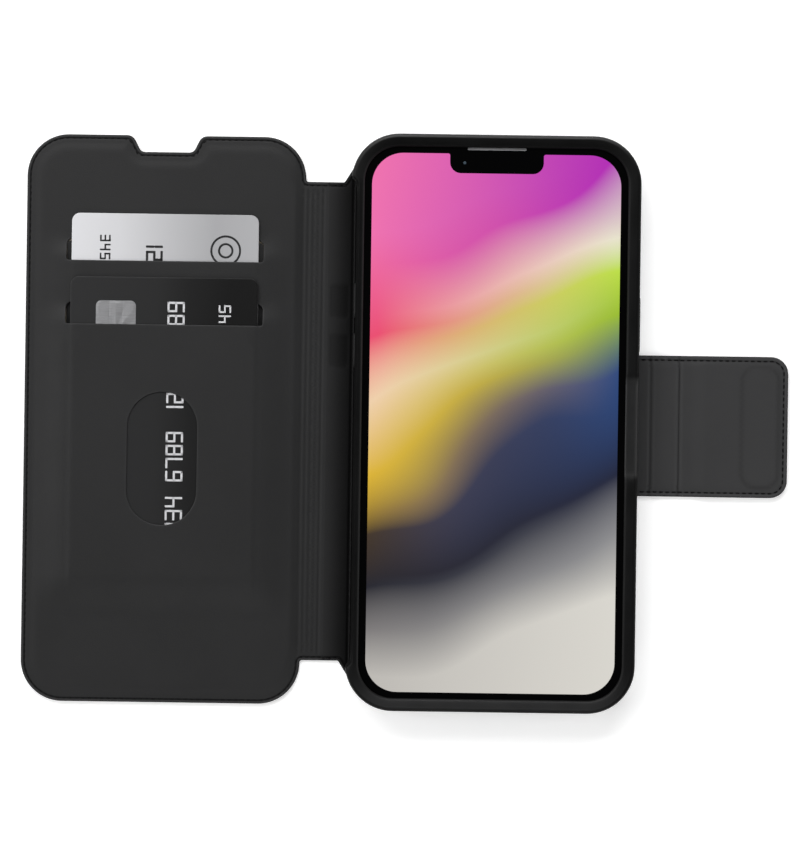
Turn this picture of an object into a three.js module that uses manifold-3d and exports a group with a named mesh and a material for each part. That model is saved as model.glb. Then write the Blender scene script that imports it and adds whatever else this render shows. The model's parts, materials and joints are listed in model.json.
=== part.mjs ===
// A folding phone wallet case, lying open on its outer leather with its lining up.
// From left to right (-X to +X): the cover with two card slots, the spine, the tray that
// holds a phone, and the closing strap. Z is up, Y runs along the phone's long side, and the
// origin is under the middle of the whole case. All sizes are in millimetres.

import * as THREE from 'three';
import { mergeVertices } from 'three/addons/utils/BufferGeometryUtils.js';
import Module from 'manifold-3d';

const wasm = await Module();
wasm.setup();

// ---- Driving dimensions ----

// The phone that the case is made for
const phoneWidth = 78.1;
const phoneHeight = 160.8;
const phoneThickness = 7.8;
const phoneCorner = 12.4;
const glassThickness = 0.7;
const glassInset = 0.3;
const panelThickness = 0.6;
const bezel = 3.45;
const endBezel = 3.35;
const displayCorner = 9;
const notchWidth = 26.8;
const notchDepth = 5.6;
const earWidth = 16.8;
const earHeight = 0.8;
const earInset = 1.9;
const selfieRadius = 1.6;
const cameraSpotX = -9.35;
const cameraSpotBelow = 2.4;
const cameraPlateSide = 37;
const cameraPlateCorner = 9;
const cameraPlateInset = 2.6;
const cameraPlateHeight = 1.15;
const lensRadius = 6.6;
const lensHeight = 0.5;
const lensSpread = 8.4;
const flashRadius = 2.6;
const flashHeight = 0.15;
const portWidth = 9;
const portHeight = 3.2;
const portDepth = 7;

// Sheet materials and the fine gaps between pieces
const leather = 0.5;
const board = 0.48;
const coverBoard = 0.9;
const backBoardInset = 0.6;
const lining = 0.48;
const pocketSheet = 0.35;
const glue = 0.02;
const slip = 0.04;
const seat = 0.05;

// The tray
const phoneFit = 0.2;
const trayWall = 2.2;
const endWallTrim = 0.2;
const trayCorner = 13.7;
const trayFloor = 0.88;
const floorToPhone = 0.1;
const lipOver = 1.4;
const lipThickness = 0.95;
const glassToLip = 0.1;
const thinWall = 0.75;
const cameraWindowMargin = 1.5;
const portWindowWidth = 44;
const portWindowHeight = 5.5;
const switchWindowLength = 9;
const switchWindowHeight = 4;
const switchY = 48.5;
const scoopLength = 27;
const scoopDepth = 0.5;
const scoopY = -0.9;

// The key pads in the tray's walls
const keyHeight = 3;
const keyTravel = 0.2;
const keyGap = 0.15;
const keyToPhone = 0.07;
const volumeKeyLength = 10;
const volumeUpY = 34.8;
const volumeDownY = 20.5;
const volumeKeyProud = 0.3;
const sideKeyLength = 16;
const sideKeyY = 29;
const sideKeyProud = 0.4;

// The spine and the folds beside it
const spineInset = 13.35;
const spineEndClear = 0.35;
const foldOutside = 0.2;
const foldSetback = 0.45;
const layerSetback = 0.95;
const closedClear = 0.22;

// The cover
const coverShort = 2.2;
const coverTrim = 1.2;
const coverCorner = 12;
const coverEdgeInset = 0.4;
const seamBorder = 2.6;
const seamOverlap = 0.4;
const seamBorderDrop = 0.29;
const notchTopWidth = 19.9;
const notchFloorWidth = 15.2;
const coverNotchDepth = 4.8;

// Cards and their slots
const cardWidth = 53.98;
const cardLength = 85.6;
const cardThickness = 0.76;
const cardCorner = 3.18;
const slotSideRoom = 1.55;
const slotHeight = 5.8;
const pocketEdge = 1;
const upperLipY = 45.6;
const lowerLipY = 27.2;
const cardShows = 13.6;
const pocketRoomBelow = 1.8;
const thumbWidth = 20.2;
const thumbHeight = 38.4;
const thumbY = -11.4;
const chipWidth = 11.5;
const chipHeight = 9;
const chipInset = 7.4;
const chipBelowTop = 6.85;
const chipCorner = 1.5;
const chipThickness = 0.02;

// The strap
const strapHeight = 40.8;
const strapReach = 44;
const strapCorner = 5;
const strapRootGap = 1.8;
const strapCore = 0.96;
const strapClear = 0.4;
const strapSideBoardInset = 2.5;
const flapSetback = 1.4;
const anchorDepth = 14;
const magnetWidth = 10.7;
const magnetHeight = 35;
const magnetFromTip = 8.05;
const magnetFit = 0.15;

// Sewing
const threadInset = 1.3;
const threadWidth = 0.4;
const threadHeight = 0.18;

// Half the number of straight pieces in a quarter turn, and in a whole circle
const CORNER_SEGMENTS = 4;
const CIRCLE_SEGMENTS = 10;

// ---- Dependent sizes ----

const foldZ = leather / 2;
const boardBottom = leather + glue;
const boardTop = boardBottom + board;
const floorBottom = boardTop + glue;
const floorTop = floorBottom + trayFloor;
const phoneBack = floorTop + floorToPhone;
const glassTop = phoneBack + phoneThickness;
const rimTop = glassTop + glassToLip + lipThickness;

const pocketWidth = phoneWidth + 2 * phoneFit;
const pocketHeight = phoneHeight + 2 * phoneFit;
const trayWidth = pocketWidth + 2 * trayWall;
const trayHeight = pocketHeight + 2 * (trayWall - endWallTrim);
const spineHeight = trayHeight - 2 * spineInset;
const recessFace = pocketWidth / 2 + thinWall;

const coverBoardTop = boardBottom + coverBoard;
const baseSheetBottom = coverBoardTop + glue;
const baseSheetTop = baseSheetBottom + pocketSheet;
const seamBorderTop = baseSheetTop - seamBorderDrop;
const lightCardBottom = baseSheetTop + slip;
const middleSheetBottom = lightCardBottom + cardThickness + slip;
const middleSheetTop = middleSheetBottom + pocketSheet;
const darkCardBottom = middleSheetTop + slip;
const lowerSheetBottom = darkCardBottom + cardThickness + slip;
const coverStack = lowerSheetBottom + pocketSheet;

const spineWidth = glassTop + closedClear + coverStack - 2 * foldZ;
const closedTop = spineWidth + 2 * foldZ;
const flapTop = boardBottom + strapCore + glue + lining;
const strapSideWidth = closedTop + strapClear + flapTop - 2 * foldZ;

// X of each fold line and edge, counted from the middle of the tray
const spineFoldX = -(trayWidth / 2 - foldOutside);
const coverFoldX = spineFoldX - spineWidth;
const coverWidth = trayWidth / 2 - spineFoldX - coverShort;
const coverLeft = coverFoldX - coverWidth;
const coverHeight = trayHeight - coverTrim;
const strapRootX = trayWidth / 2 + strapRootGap;
const strapTipX = strapRootX + strapSideWidth;
const strapEnd = trayWidth / 2 + strapReach;
const trayX = -(coverLeft + strapEnd) / 2;

const coverMiddle = coverFoldX - coverWidth / 2;
const slotWidth = cardWidth + 2 * slotSideRoom;
const pocketBottom = lowerLipY + cardShows - cardLength - pocketRoomBelow;
const magnetX = strapEnd - magnetFromTip;
const plateX = coverFoldX - (strapRootX - (magnetX - strapTipX) - spineFoldX);
const cameraX = phoneWidth / 2 - cameraPlateInset - cameraPlateSide / 2;
const cameraY = phoneHeight / 2 - cameraPlateInset - cameraPlateSide / 2;
const keyZ = phoneBack + phoneThickness / 2;

// ---- Materials ----

function material(color, roughness, metalness = 0) {
  return new THREE.MeshStandardMaterial({ color, roughness, metalness });
}

const outerLeather = material(0x2b2b2d, 0.6);
const liningLeather = material(0x35353a, 0.55);
const stiffBoard = material(0x6e675c, 0.9);
const softPlastic = material(0x17171a, 0.45);
const threadBlack = material(0x141416, 0.7);
const magnetSteel = material(0x9a9a9c, 0.35, 1);
const blackGlass = material(0x050506, 0.08);
const screen = material(0x8c5a86, 0.2);
const phoneMetal = material(0x3a3b3e, 0.3, 1);
const grille = material(0x4a4a4d, 0.5, 0.6);
const lightCardPlastic = material(0xd5d6da, 0.35);
const darkCardPlastic = material(0x26272b, 0.3);
const chipMetal = material(0x9c9ca0, 0.3, 1);

// ---- Outlines ----

/** A rectangle with round corners, centred on (x, y). */
function roundedRect(width, height, radius, x = 0, y = 0) {
  const dx = width / 2 - radius;
  const dy = height / 2 - radius;
  const shape = new THREE.Shape();
  shape.absarc(x + dx, y + dy, radius, 0, Math.PI / 2);
  shape.absarc(x - dx, y + dy, radius, Math.PI / 2, Math.PI);
  shape.absarc(x - dx, y - dy, radius, Math.PI, 1.5 * Math.PI);
  shape.absarc(x + dx, y - dy, radius, 1.5 * Math.PI, 2 * Math.PI);
  shape.closePath();
  return shape;
}


/** A rectangle between two values of x, with square corners. */
function band(left, right, height, y = 0) {
  const shape = new THREE.Shape();
  shape.moveTo(left, y - height / 2);
  shape.lineTo(right, y - height / 2);
  shape.lineTo(right, y + height / 2);
  shape.lineTo(left, y + height / 2);
  shape.closePath();
  return shape;
}

/** A strip from left to right whose two right corners are round, as at the strap's end. */
function tongue(left, right, height, radius) {
  const half = height / 2;
  const shape = new THREE.Shape();
  shape.moveTo(left, half);
  shape.lineTo(left, -half);
  shape.absarc(right - radius, -half + radius, radius, -Math.PI / 2, 0);
  shape.absarc(right - radius, half - radius, radius, 0, Math.PI / 2);
  shape.closePath();
  return shape;
}

/** The cover's outline, inset by a margin, with the speaker notch in its top edge. */
function coverOutline(inset, foldGap) {
  const left = coverLeft + inset;
  const right = coverFoldX - foldGap;
  const top = coverHeight / 2 - inset;
  const radius = coverCorner - inset;
  const notchFloor = coverHeight / 2 - coverNotchDepth - inset;
  const shape = new THREE.Shape();
  shape.absarc(right - radius, -top + radius, radius, -Math.PI / 2, 0);
  shape.absarc(right - radius, top - radius, radius, 0, Math.PI / 2);
  shape.lineTo(coverMiddle + notchTopWidth / 2 + inset, top);
  shape.lineTo(coverMiddle + notchFloorWidth / 2 + inset, notchFloor);
  shape.lineTo(coverMiddle - notchFloorWidth / 2 - inset, notchFloor);
  shape.lineTo(coverMiddle - notchTopWidth / 2 - inset, top);
  shape.absarc(left + radius, top - radius, radius, Math.PI / 2, Math.PI);
  shape.absarc(left + radius, -top + radius, radius, Math.PI, 1.5 * Math.PI);
  shape.closePath();
  return shape;
}

/** The display's outline, with the sensor notch in its top edge. */
function displayOutline(inset = 0) {
  const halfWidth = phoneWidth / 2 - bezel - inset;
  const halfHeight = phoneHeight / 2 - endBezel - inset;
  const notchHalf = notchWidth / 2 + inset;
  const radius = displayCorner - inset;
  const shape = new THREE.Shape();
  shape.absarc(halfWidth - radius, -halfHeight + radius, radius, -Math.PI / 2, 0);
  shape.absarc(halfWidth - radius, halfHeight - radius, radius, 0, Math.PI / 2);
  shape.lineTo(notchHalf, halfHeight);
  shape.lineTo(notchHalf, halfHeight - notchDepth);
  shape.lineTo(-notchHalf, halfHeight - notchDepth);
  shape.lineTo(-notchHalf, halfHeight);
  shape.absarc(-halfWidth + radius, halfHeight - radius, radius, Math.PI / 2, Math.PI);
  shape.absarc(-halfWidth + radius, -halfHeight + radius, radius, Math.PI, 1.5 * Math.PI);
  shape.closePath();
  return shape;
}

// ---- Solids ----

/** A flat piece of the given outline between two heights. */
function slab(shape, bottom, top, curveSegments = CORNER_SEGMENTS) {
  const options = { depth: top - bottom, bevelEnabled: false, curveSegments };
  return new THREE.ExtrudeGeometry(shape, options).translate(0, 0, bottom);
}

/** A round disc centred on (x, y), between two heights. */
function disc(radius, x, y, bottom, top) {
  const shape = new THREE.Shape();
  shape.absarc(x, y, radius, 0, 2 * Math.PI);
  return slab(shape, bottom, top, CIRCLE_SEGMENTS);
}

/** A box between two opposite corners. */
function block(left, right, front, back, bottom, top) {
  const box = new THREE.BoxGeometry(right - left, back - front, top - bottom);
  return box.translate((left + right) / 2, (front + back) / 2, (bottom + top) / 2);
}

function toSolid(geometry) {
  const bare = geometry.clone();
  bare.deleteAttribute('normal');
  bare.deleteAttribute('uv');
  const merged = mergeVertices(bare, 1e-5);
  const vertProperties = Float32Array.from(merged.attributes.position.array);
  const triVerts = Uint32Array.from(merged.index.array);
  return new wasm.Manifold(new wasm.Mesh({ numProp: 3, vertProperties, triVerts }));
}

function toGeometry(solid) {
  const mesh = solid.getMesh();
  const geometry = new THREE.BufferGeometry();
  geometry.setAttribute('position', new THREE.BufferAttribute(mesh.vertProperties, 3));
  geometry.setIndex(new THREE.BufferAttribute(mesh.triVerts, 1));
  geometry.computeVertexNormals();
  return geometry;
}

/** The first geometry with all the others cut away from it. */
function cut(geometry, ...tools) {
  return toGeometry(tools.reduce((solid, tool) => solid.subtract(toSolid(tool)), toSolid(geometry)));
}

/** One solid made of several that share volume. */
function join(...geometries) {
  return toGeometry(geometries.map(toSolid).reduce((a, b) => a.add(b)));
}

// ---- Building the scene ----

const group = new THREE.Group();
group.position.x = trayX;

function add(name, geometry, surface) {
  const mesh = new THREE.Mesh(geometry, surface);
  mesh.name = name;
  group.add(mesh);
}

/** The camera window through the floor of the case. */
function cameraWindow(bottom, top) {
  const side = cameraPlateSide + 2 * cameraWindowMargin;
  const radius = cameraPlateCorner + cameraWindowMargin;
  return slab(roundedRect(side, side, radius, cameraX, cameraY), bottom, top);
}

/** The strip at the tray's left edge that the closed spine needs. */
function spineRoom(rightEdge, bottom, top) {
  const half = spineHeight / 2 + spineEndClear;
  return block(-trayWidth, rightEdge, -half, half, bottom, top);
}

function addBack() {
  const sheet = slab(roundedRect(trayWidth, trayHeight, trayCorner), 0, leather);
  const ear = slab(band(0, strapRootX - foldSetback, strapHeight), 0, leather);
  const backLeather = cut(
    join(sheet, ear),
    cameraWindow(-1, leather + 1),
    spineRoom(spineFoldX + foldSetback, -1, leather + 1),
  );
  add('back_leather', backLeather, outerLeather);

  const inset = backBoardInset;
  const outline = roundedRect(trayWidth - 2 * inset, trayHeight - 2 * inset, trayCorner - inset);
  const tabRoom = strapHeight / 2 - threadInset + phoneFit;
  const edge = trayWidth / 2;
  const backBoard = cut(
    slab(outline, boardBottom, boardTop),
    cameraWindow(boardBottom - 1, boardTop + 1),
    spineRoom(-recessFace, boardBottom - 1, boardTop + 1),
    block(edge - anchorDepth - phoneFit, edge + 1, -tabRoom, tabRoom, boardBottom - 1, boardTop + 1),
  );
  add('back_board', backBoard, stiffBoard);

  const tab = band(edge - anchorDepth, strapRootX - foldSetback, 2 * (tabRoom - phoneFit));
  add('strap_anchor_tab', slab(tab, boardBottom, boardTop), outerLeather);
}

/** The lowered stretch of the right rim, with slanted ends. */
function rimScoop() {
  const half = scoopLength / 2;
  const profile = new THREE.Shape();
  profile.moveTo(-half, 1);
  profile.lineTo(-half, 0);
  profile.lineTo(-half + scoopDepth, -scoopDepth);
  profile.lineTo(half - scoopDepth, -scoopDepth);
  profile.lineTo(half, 0);
  profile.lineTo(half, 1);
  profile.closePath();
  const scoop = new THREE.ExtrudeGeometry(profile, { depth: 2 * trayWall, bevelEnabled: false });
  scoop.rotateX(Math.PI / 2);
  scoop.rotateZ(Math.PI / 2);
  return scoop.translate(trayWidth / 2 - trayWall, scoopY, rimTop);
}

/** A hole through a side wall for a key pad, with the running gap all round it. */
function keyHole(inner, outer, y, length) {
  const halfLength = length / 2 + keyGap;
  const halfHeight = keyHeight / 2 + keyGap;
  return block(inner, outer, y - halfLength, y + halfLength, keyZ - halfHeight, keyZ + halfHeight);
}

function addTray() {
  const outer = slab(roundedRect(trayWidth, trayHeight, trayCorner), floorBottom, rimTop);
  const pocketTop = glassTop + glassToLip;
  const pocket = roundedRect(pocketWidth, pocketHeight, phoneCorner + phoneFit);
  const mouthWidth = phoneWidth - 2 * lipOver;
  const mouth = roundedRect(mouthWidth, phoneHeight - 2 * lipOver, phoneCorner - lipOver);
  const wallIn = pocketWidth / 2 - 1;
  const portHalf = portWindowWidth / 2;
  const portBottom = keyZ - portWindowHeight / 2;
  const switchFront = switchY - switchWindowLength / 2;
  const switchBottom = keyZ - switchWindowHeight / 2;
  const shell = cut(
    outer,
    slab(pocket, floorTop, pocketTop),
    slab(mouth, pocketTop - 1, rimTop + 1),
    cameraWindow(floorBottom - 1, floorTop + 1),
    spineRoom(-recessFace, floorBottom - 1, rimTop + 1),
    rimScoop(),
    keyHole(-trayWidth, -wallIn, volumeUpY, volumeKeyLength),
    keyHole(-trayWidth, -wallIn, volumeDownY, volumeKeyLength),
    keyHole(wallIn, trayWidth, sideKeyY, sideKeyLength),
    block(-portHalf, portHalf, -trayHeight, -phoneHeight / 2, portBottom, portBottom + portWindowHeight),
    block(-trayWidth, -wallIn, switchFront, switchFront + switchWindowLength,
      switchBottom, switchBottom + switchWindowHeight),
  );
  add('tray_shell', shell, softPlastic);
}

/** A key pad that fills its hole in a wall; side is -1 for the left wall and 1 for the right. */
function addKey(name, side, y, length, outerFace) {
  const innerFace = phoneWidth / 2 + keyTravel + keyToPhone;
  const thickness = outerFace - innerFace;
  const pad = slab(roundedRect(keyHeight, length, keyHeight / 2 - 0.01), 0, thickness);
  pad.rotateY(side * Math.PI / 2);
  pad.translate(side * innerFace, y, keyZ);
  add(name, pad, softPlastic);
}

function addKeys() {
  addKey('volume_up_key', -1, volumeUpY, volumeKeyLength, recessFace + volumeKeyProud);
  addKey('volume_down_key', -1, volumeDownY, volumeKeyLength, recessFace + volumeKeyProud);
  addKey('side_key', 1, sideKeyY, sideKeyLength, trayWidth / 2 + sideKeyProud);
}

/** The phone's band, with the display's pocket, the port, and room for both sheets of glass. */
function addPhoneFrame(frameBottom, frameTop, panelBottom) {
  const body = slab(roundedRect(phoneWidth, phoneHeight, phoneCorner), frameBottom, frameTop);
  const portMiddle = keyZ;
  const port = roundedRect(portWidth, portHeight, portHeight / 2 - 0.01);
  const portCut = slab(port, 0, portDepth + 1).rotateX(Math.PI / 2);
  portCut.translate(0, -phoneHeight / 2 + portDepth, portMiddle);
  const panelRoom = slab(displayOutline(-seat), panelBottom - seat, frameTop + 1);
  add('phone_frame', cut(body, portCut, panelRoom), phoneMetal);
}

function addPhoneFront(glassBottom, panelBottom) {
  add('phone_display', slab(displayOutline(), panelBottom, glassBottom - seat), screen);

  const outline = roundedRect(
    phoneWidth - 2 * glassInset,
    phoneHeight - 2 * glassInset,
    phoneCorner - glassInset,
  );
  const cameraSpotY = phoneHeight / 2 - bezel - cameraSpotBelow;
  const ear = (grow) => roundedRect(
    earWidth + 2 * grow,
    earHeight + 2 * grow,
    earHeight / 2 - 0.01,
    0,
    phoneHeight / 2 - earInset,
  );
  const frontGlass = cut(
    slab(outline, glassBottom, glassTop),
    slab(ear(seat), glassBottom - 1, glassTop + 1),
    disc(selfieRadius + seat, cameraSpotX, cameraSpotY, glassBottom - 1, glassTop + 1),
  );
  add('phone_front_glass', frontGlass, blackGlass);
  add('phone_earpiece', slab(ear(0), glassBottom, glassTop - 2 * seat), grille);
  const selfie = disc(selfieRadius, cameraSpotX, cameraSpotY, glassBottom, glassTop - seat);
  add('phone_selfie_camera', selfie, blackGlass);
}

function addPhoneBack(frameBottom) {
  const outline = roundedRect(phoneWidth, phoneHeight, phoneCorner);
  add('phone_back_glass', slab(outline, phoneBack, frameBottom - seat), blackGlass);

  const plateTop = phoneBack - seat;
  const plateBottom = phoneBack - cameraPlateHeight;
  const plate = roundedRect(cameraPlateSide, cameraPlateSide, cameraPlateCorner, cameraX, cameraY);
  add('phone_camera_plate', slab(plate, plateBottom, plateTop), blackGlass);

  const lensTop = plateBottom - seat;
  const spread = lensSpread;
  const places = { upper: [spread, spread], lower: [spread, -spread], side: [-spread, 0] };
  for (const [where, [dx, dy]] of Object.entries(places)) {
    const lens = disc(lensRadius, cameraX + dx, cameraY + dy, lensTop - lensHeight, lensTop);
    add(`phone_lens_${where}`, lens, phoneMetal);
  }
  const flashY = cameraY + cameraPlateSide / 2 - flashRadius - cameraPlateCorner / 2;
  const flash = disc(flashRadius, cameraX - spread, flashY, lensTop - flashHeight, lensTop);
  add('phone_flash', flash, lightCardPlastic);
}

function addPhone() {
  const frameBottom = phoneBack + glassThickness;
  const glassBottom = glassTop - glassThickness;
  const panelBottom = glassBottom - seat - panelThickness;
  addPhoneFrame(frameBottom, glassBottom - seat, panelBottom);
  addPhoneFront(glassBottom, panelBottom);
  addPhoneBack(frameBottom);
}

function addSpine() {
  const outer = band(coverFoldX + foldSetback, spineFoldX - foldSetback, spineHeight);
  add('spine_leather', slab(outer, 0, leather), outerLeather);
  const inner = band(
    coverFoldX + layerSetback,
    spineFoldX - layerSetback,
    spineHeight - 2 * coverEdgeInset,
  );
  add('spine_lining', slab(inner, boardBottom, boardBottom + lining), liningLeather);
}

/** The card pocket's raised front: two stepped sheets over the cards, on side and end walls. */
function raisedPocket() {
  const innerHalf = slotWidth / 2;
  const outerHalf = innerHalf + pocketEdge;
  const left = coverMiddle - outerHalf;
  const right = coverMiddle + outerHalf;
  const root = baseSheetBottom + pocketSheet / 2;
  const bottom = pocketBottom - pocketEdge;
  const stripBottom = lowerLipY + slotHeight;
  const parts = [
    block(left, right, stripBottom, upperLipY, middleSheetBottom, middleSheetTop),
    block(left, right, bottom, lowerLipY, lowerSheetBottom, coverStack),
    block(left, right, bottom, pocketBottom, root, coverStack),
  ];
  for (const inner of [coverMiddle - outerHalf, coverMiddle + innerHalf]) {
    const outer = inner + pocketEdge;
    parts.push(block(inner, outer, stripBottom, upperLipY, root, middleSheetTop));
    parts.push(block(inner, outer, bottom, lowerLipY, root, coverStack));
  }
  return parts;
}

/** The flat sheet of the lining and, round its edge, the lower border that is sewn to the outside. */
function liningBase() {
  const border = cut(
    slab(coverOutline(coverEdgeInset, layerSetback), boardBottom, seamBorderTop),
    slab(coverOutline(seamBorder, layerSetback + seamBorder), 0, coverStack),
  );
  const edge = seamBorder - seamOverlap;
  const sheet = slab(coverOutline(edge, layerSetback + edge), baseSheetBottom, baseSheetTop);
  return join(border, sheet);
}

function addCoverLining() {
  const base = liningBase();
  const half = slotWidth / 2;
  const opening = block(
    coverMiddle - half, coverMiddle + half, pocketBottom, upperLipY + slotHeight,
    baseSheetBottom - 1, baseSheetTop + 0.01,
  );
  const thumb = roundedRect(thumbWidth, thumbHeight, thumbWidth / 2 - 0.01, coverMiddle, thumbY);
  const face = cut(
    join(cut(base, opening), ...raisedPocket()),
    slab(thumb, lowerSheetBottom - slip / 2, coverStack + 1),
  );
  add('cover_lining', face, liningLeather);
}

/** The two plain sheets inside the pocket: behind the cards and between them. */
function addPocketSheets() {
  const width = slotWidth - 2 * phoneFit;
  const bottom = pocketBottom + phoneFit;
  const backLength = upperLipY + slotHeight - phoneFit - bottom;
  const back = roundedRect(width, backLength, 1, coverMiddle, bottom + backLength / 2);
  add('pocket_back', slab(back, baseSheetBottom, baseSheetTop), liningLeather);
  const dividerLength = lowerLipY - bottom;
  const divider = roundedRect(width, dividerLength, 1, coverMiddle, bottom + dividerLength / 2);
  add('pocket_divider', slab(divider, middleSheetBottom, middleSheetTop), liningLeather);
}

function addCover() {
  add('cover_leather', slab(coverOutline(0, foldSetback), 0, leather), outerLeather);
  const plateRoom = roundedRect(magnetWidth + 2 * magnetFit, magnetHeight + 2 * magnetFit, 1, plateX);
  const boardInset = seamBorder + phoneFit;
  const stiffener = cut(
    slab(coverOutline(boardInset, layerSetback + boardInset), boardBottom, coverBoardTop),
    slab(plateRoom, boardBottom - 1, coverBoardTop + 1),
  );
  add('cover_board', stiffener, stiffBoard);
  const plate = roundedRect(magnetWidth, magnetHeight, 1, plateX);
  add('cover_magnet_plate', slab(plate, boardBottom, coverBoardTop), magnetSteel);
  addCoverLining();
  addPocketSheets();
}

/** A bank card whose top edge shows above the lip it is pushed behind. */
function cardSlab(lipY, bottom) {
  const y = lipY + cardShows - cardLength / 2;
  return slab(roundedRect(cardWidth, cardLength, cardCorner, coverMiddle, y), bottom, bottom + cardThickness);
}

function addCards() {
  add('light_card', cardSlab(upperLipY, lightCardBottom), lightCardPlastic);
  const chipX = coverMiddle - cardWidth / 2 + chipInset + chipWidth / 2;
  const chipY = lowerLipY + cardShows - chipBelowTop - chipHeight / 2;
  const chipTop = darkCardBottom + cardThickness;
  const recess = roundedRect(chipWidth + 2 * slip, chipHeight + 2 * slip, chipCorner, chipX, chipY);
  const darkCard = cut(
    cardSlab(lowerLipY, darkCardBottom),
    slab(recess, chipTop - 2 * chipThickness, chipTop + 1),
  );
  add('dark_card', darkCard, darkCardPlastic);
  const chip = roundedRect(chipWidth, chipHeight, chipCorner, chipX, chipY);
  add('dark_card_chip', slab(chip, chipTop - chipThickness, chipTop), chipMetal);
}

/** A thread laid along an outline, as a flat ring between that outline and one inside it. */
function threadRing(name, outer, inner, bottom) {
  const ring = cut(
    slab(outer, bottom, bottom + threadHeight),
    slab(inner, bottom - 1, bottom + threadHeight + 1),
  );
  add(name, ring, threadBlack);
}

function addThreads() {
  threadRing(
    'cover_stitching',
    coverOutline(threadInset, layerSetback + threadInset),
    coverOutline(threadInset + threadWidth, layerSetback + threadInset + threadWidth),
    seamBorderTop + glue,
  );
  const flapStart = strapTipX + flapSetback + threadInset;
  const flapEnd = strapEnd - threadInset;
  const flapHeight = strapHeight - 2 * threadInset;
  threadRing(
    'strap_flap_stitching',
    tongue(flapStart, flapEnd, flapHeight, strapCorner - threadInset),
    tongue(
      flapStart + threadWidth,
      flapEnd - threadWidth,
      flapHeight - 2 * threadWidth,
      strapCorner - threadInset - threadWidth,
    ),
    flapTop + glue,
  );
  const sideLeft = strapRootX + layerSetback + threadInset;
  const sideRight = strapTipX - layerSetback - threadInset;
  threadRing(
    'strap_side_stitching',
    band(sideLeft, sideRight, flapHeight),
    band(sideLeft + threadWidth, sideRight - threadWidth, flapHeight - 2 * threadWidth),
    boardTop + glue + lining / 2 + glue,
  );
}

function addStrapSide() {
  const left = strapRootX + foldSetback;
  const right = strapTipX - foldSetback;
  add('strap_side_leather', slab(band(left, right, strapHeight), 0, leather), outerLeather);
  const coreLeft = strapRootX + strapSideBoardInset;
  const coreRight = strapTipX - strapSideBoardInset;
  const core = band(coreLeft, coreRight, strapHeight - 4 * threadInset);
  add('strap_side_board', slab(core, boardBottom, boardTop), stiffBoard);
  const cover = band(strapRootX + layerSetback, strapTipX - layerSetback, strapHeight - 2 * coverEdgeInset);
  const top = boardTop + glue + lining / 2;
  add('strap_side_lining', slab(cover, boardTop + glue, top), liningLeather);
}

function addStrapFlap() {
  const leatherStart = strapTipX + foldSetback;
  const start = strapTipX + flapSetback;
  add('strap_flap_leather', slab(tongue(leatherStart, strapEnd, strapHeight, strapCorner), 0, leather),
    outerLeather);

  const coreTop = boardBottom + strapCore;
  const core = tongue(
    start + threadInset,
    strapEnd - threadInset,
    strapHeight - 2 * threadInset,
    strapCorner - threadInset,
  );
  const magnetRoom = roundedRect(magnetWidth + 2 * magnetFit, magnetHeight + 2 * magnetFit, 1, magnetX);
  const coreBoard = cut(
    slab(core, boardBottom, coreTop),
    slab(magnetRoom, boardBottom - 1, coreTop + 1),
  );
  add('strap_flap_board', coreBoard, stiffBoard);
  const magnet = roundedRect(magnetWidth, magnetHeight, 1, magnetX);
  add('strap_magnet', slab(magnet, boardBottom, coreTop), magnetSteel);

  const liningOutline = tongue(
    start,
    strapEnd - coverEdgeInset,
    strapHeight - 2 * coverEdgeInset,
    strapCorner - coverEdgeInset,
  );
  add('strap_flap_lining', slab(liningOutline, coreTop + glue, flapTop), liningLeather);
}

addBack();
addTray();
addKeys();
addPhone();
addSpine();
addCover();
addCards();
addStrapSide();
addStrapFlap();
addThreads();

export default group;
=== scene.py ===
"""The looks of an open phone wallet case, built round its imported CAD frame.

Lengths are in millimetres in the frame's own axes until a mesh is made: +X from the cover to the
strap, +Y to the phone's top, +Z up. Flat pieces are sheets: an outline filled with triangles,
with one height function for the upper face and one for the lower. A height function is given
each point's x and y, its distance to the nearest real edge, and to the nearest hole.
"""

import json
import math
from contextlib import contextmanager

import bmesh
import bpy
import numpy as np
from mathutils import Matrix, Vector, geometry


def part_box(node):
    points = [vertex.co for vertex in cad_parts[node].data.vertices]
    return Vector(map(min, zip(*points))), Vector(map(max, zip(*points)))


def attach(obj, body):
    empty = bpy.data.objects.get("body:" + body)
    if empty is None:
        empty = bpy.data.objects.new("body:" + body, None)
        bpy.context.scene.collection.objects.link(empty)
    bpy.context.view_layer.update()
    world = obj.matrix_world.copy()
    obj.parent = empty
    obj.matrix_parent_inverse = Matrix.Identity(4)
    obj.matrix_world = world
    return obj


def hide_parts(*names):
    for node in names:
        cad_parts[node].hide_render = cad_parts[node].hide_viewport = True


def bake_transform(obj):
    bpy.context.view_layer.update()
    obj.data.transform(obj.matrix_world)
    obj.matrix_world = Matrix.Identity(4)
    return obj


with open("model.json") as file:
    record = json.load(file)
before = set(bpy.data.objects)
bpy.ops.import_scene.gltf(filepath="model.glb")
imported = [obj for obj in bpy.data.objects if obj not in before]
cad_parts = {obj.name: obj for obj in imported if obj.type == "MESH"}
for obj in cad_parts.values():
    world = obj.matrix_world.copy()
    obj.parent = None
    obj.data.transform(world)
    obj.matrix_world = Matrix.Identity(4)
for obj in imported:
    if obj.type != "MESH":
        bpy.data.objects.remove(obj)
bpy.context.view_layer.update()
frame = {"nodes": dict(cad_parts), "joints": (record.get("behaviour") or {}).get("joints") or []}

MM = 0.001
JOINTS = {j["name"]: j for j in frame["joints"]}


def box(node):
    """A CAD node's lowest and highest corner, in millimetres."""
    low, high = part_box(node)
    return np.array(low) / MM, np.array(high) / MM


def middle_and_size(node):
    low, high = box(node)
    return (low + high) / 2, high - low


def fold_x(joint):
    return JOINTS[joint]["pos_m"][0] / MM


# ---- Places taken from the frame ----

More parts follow.
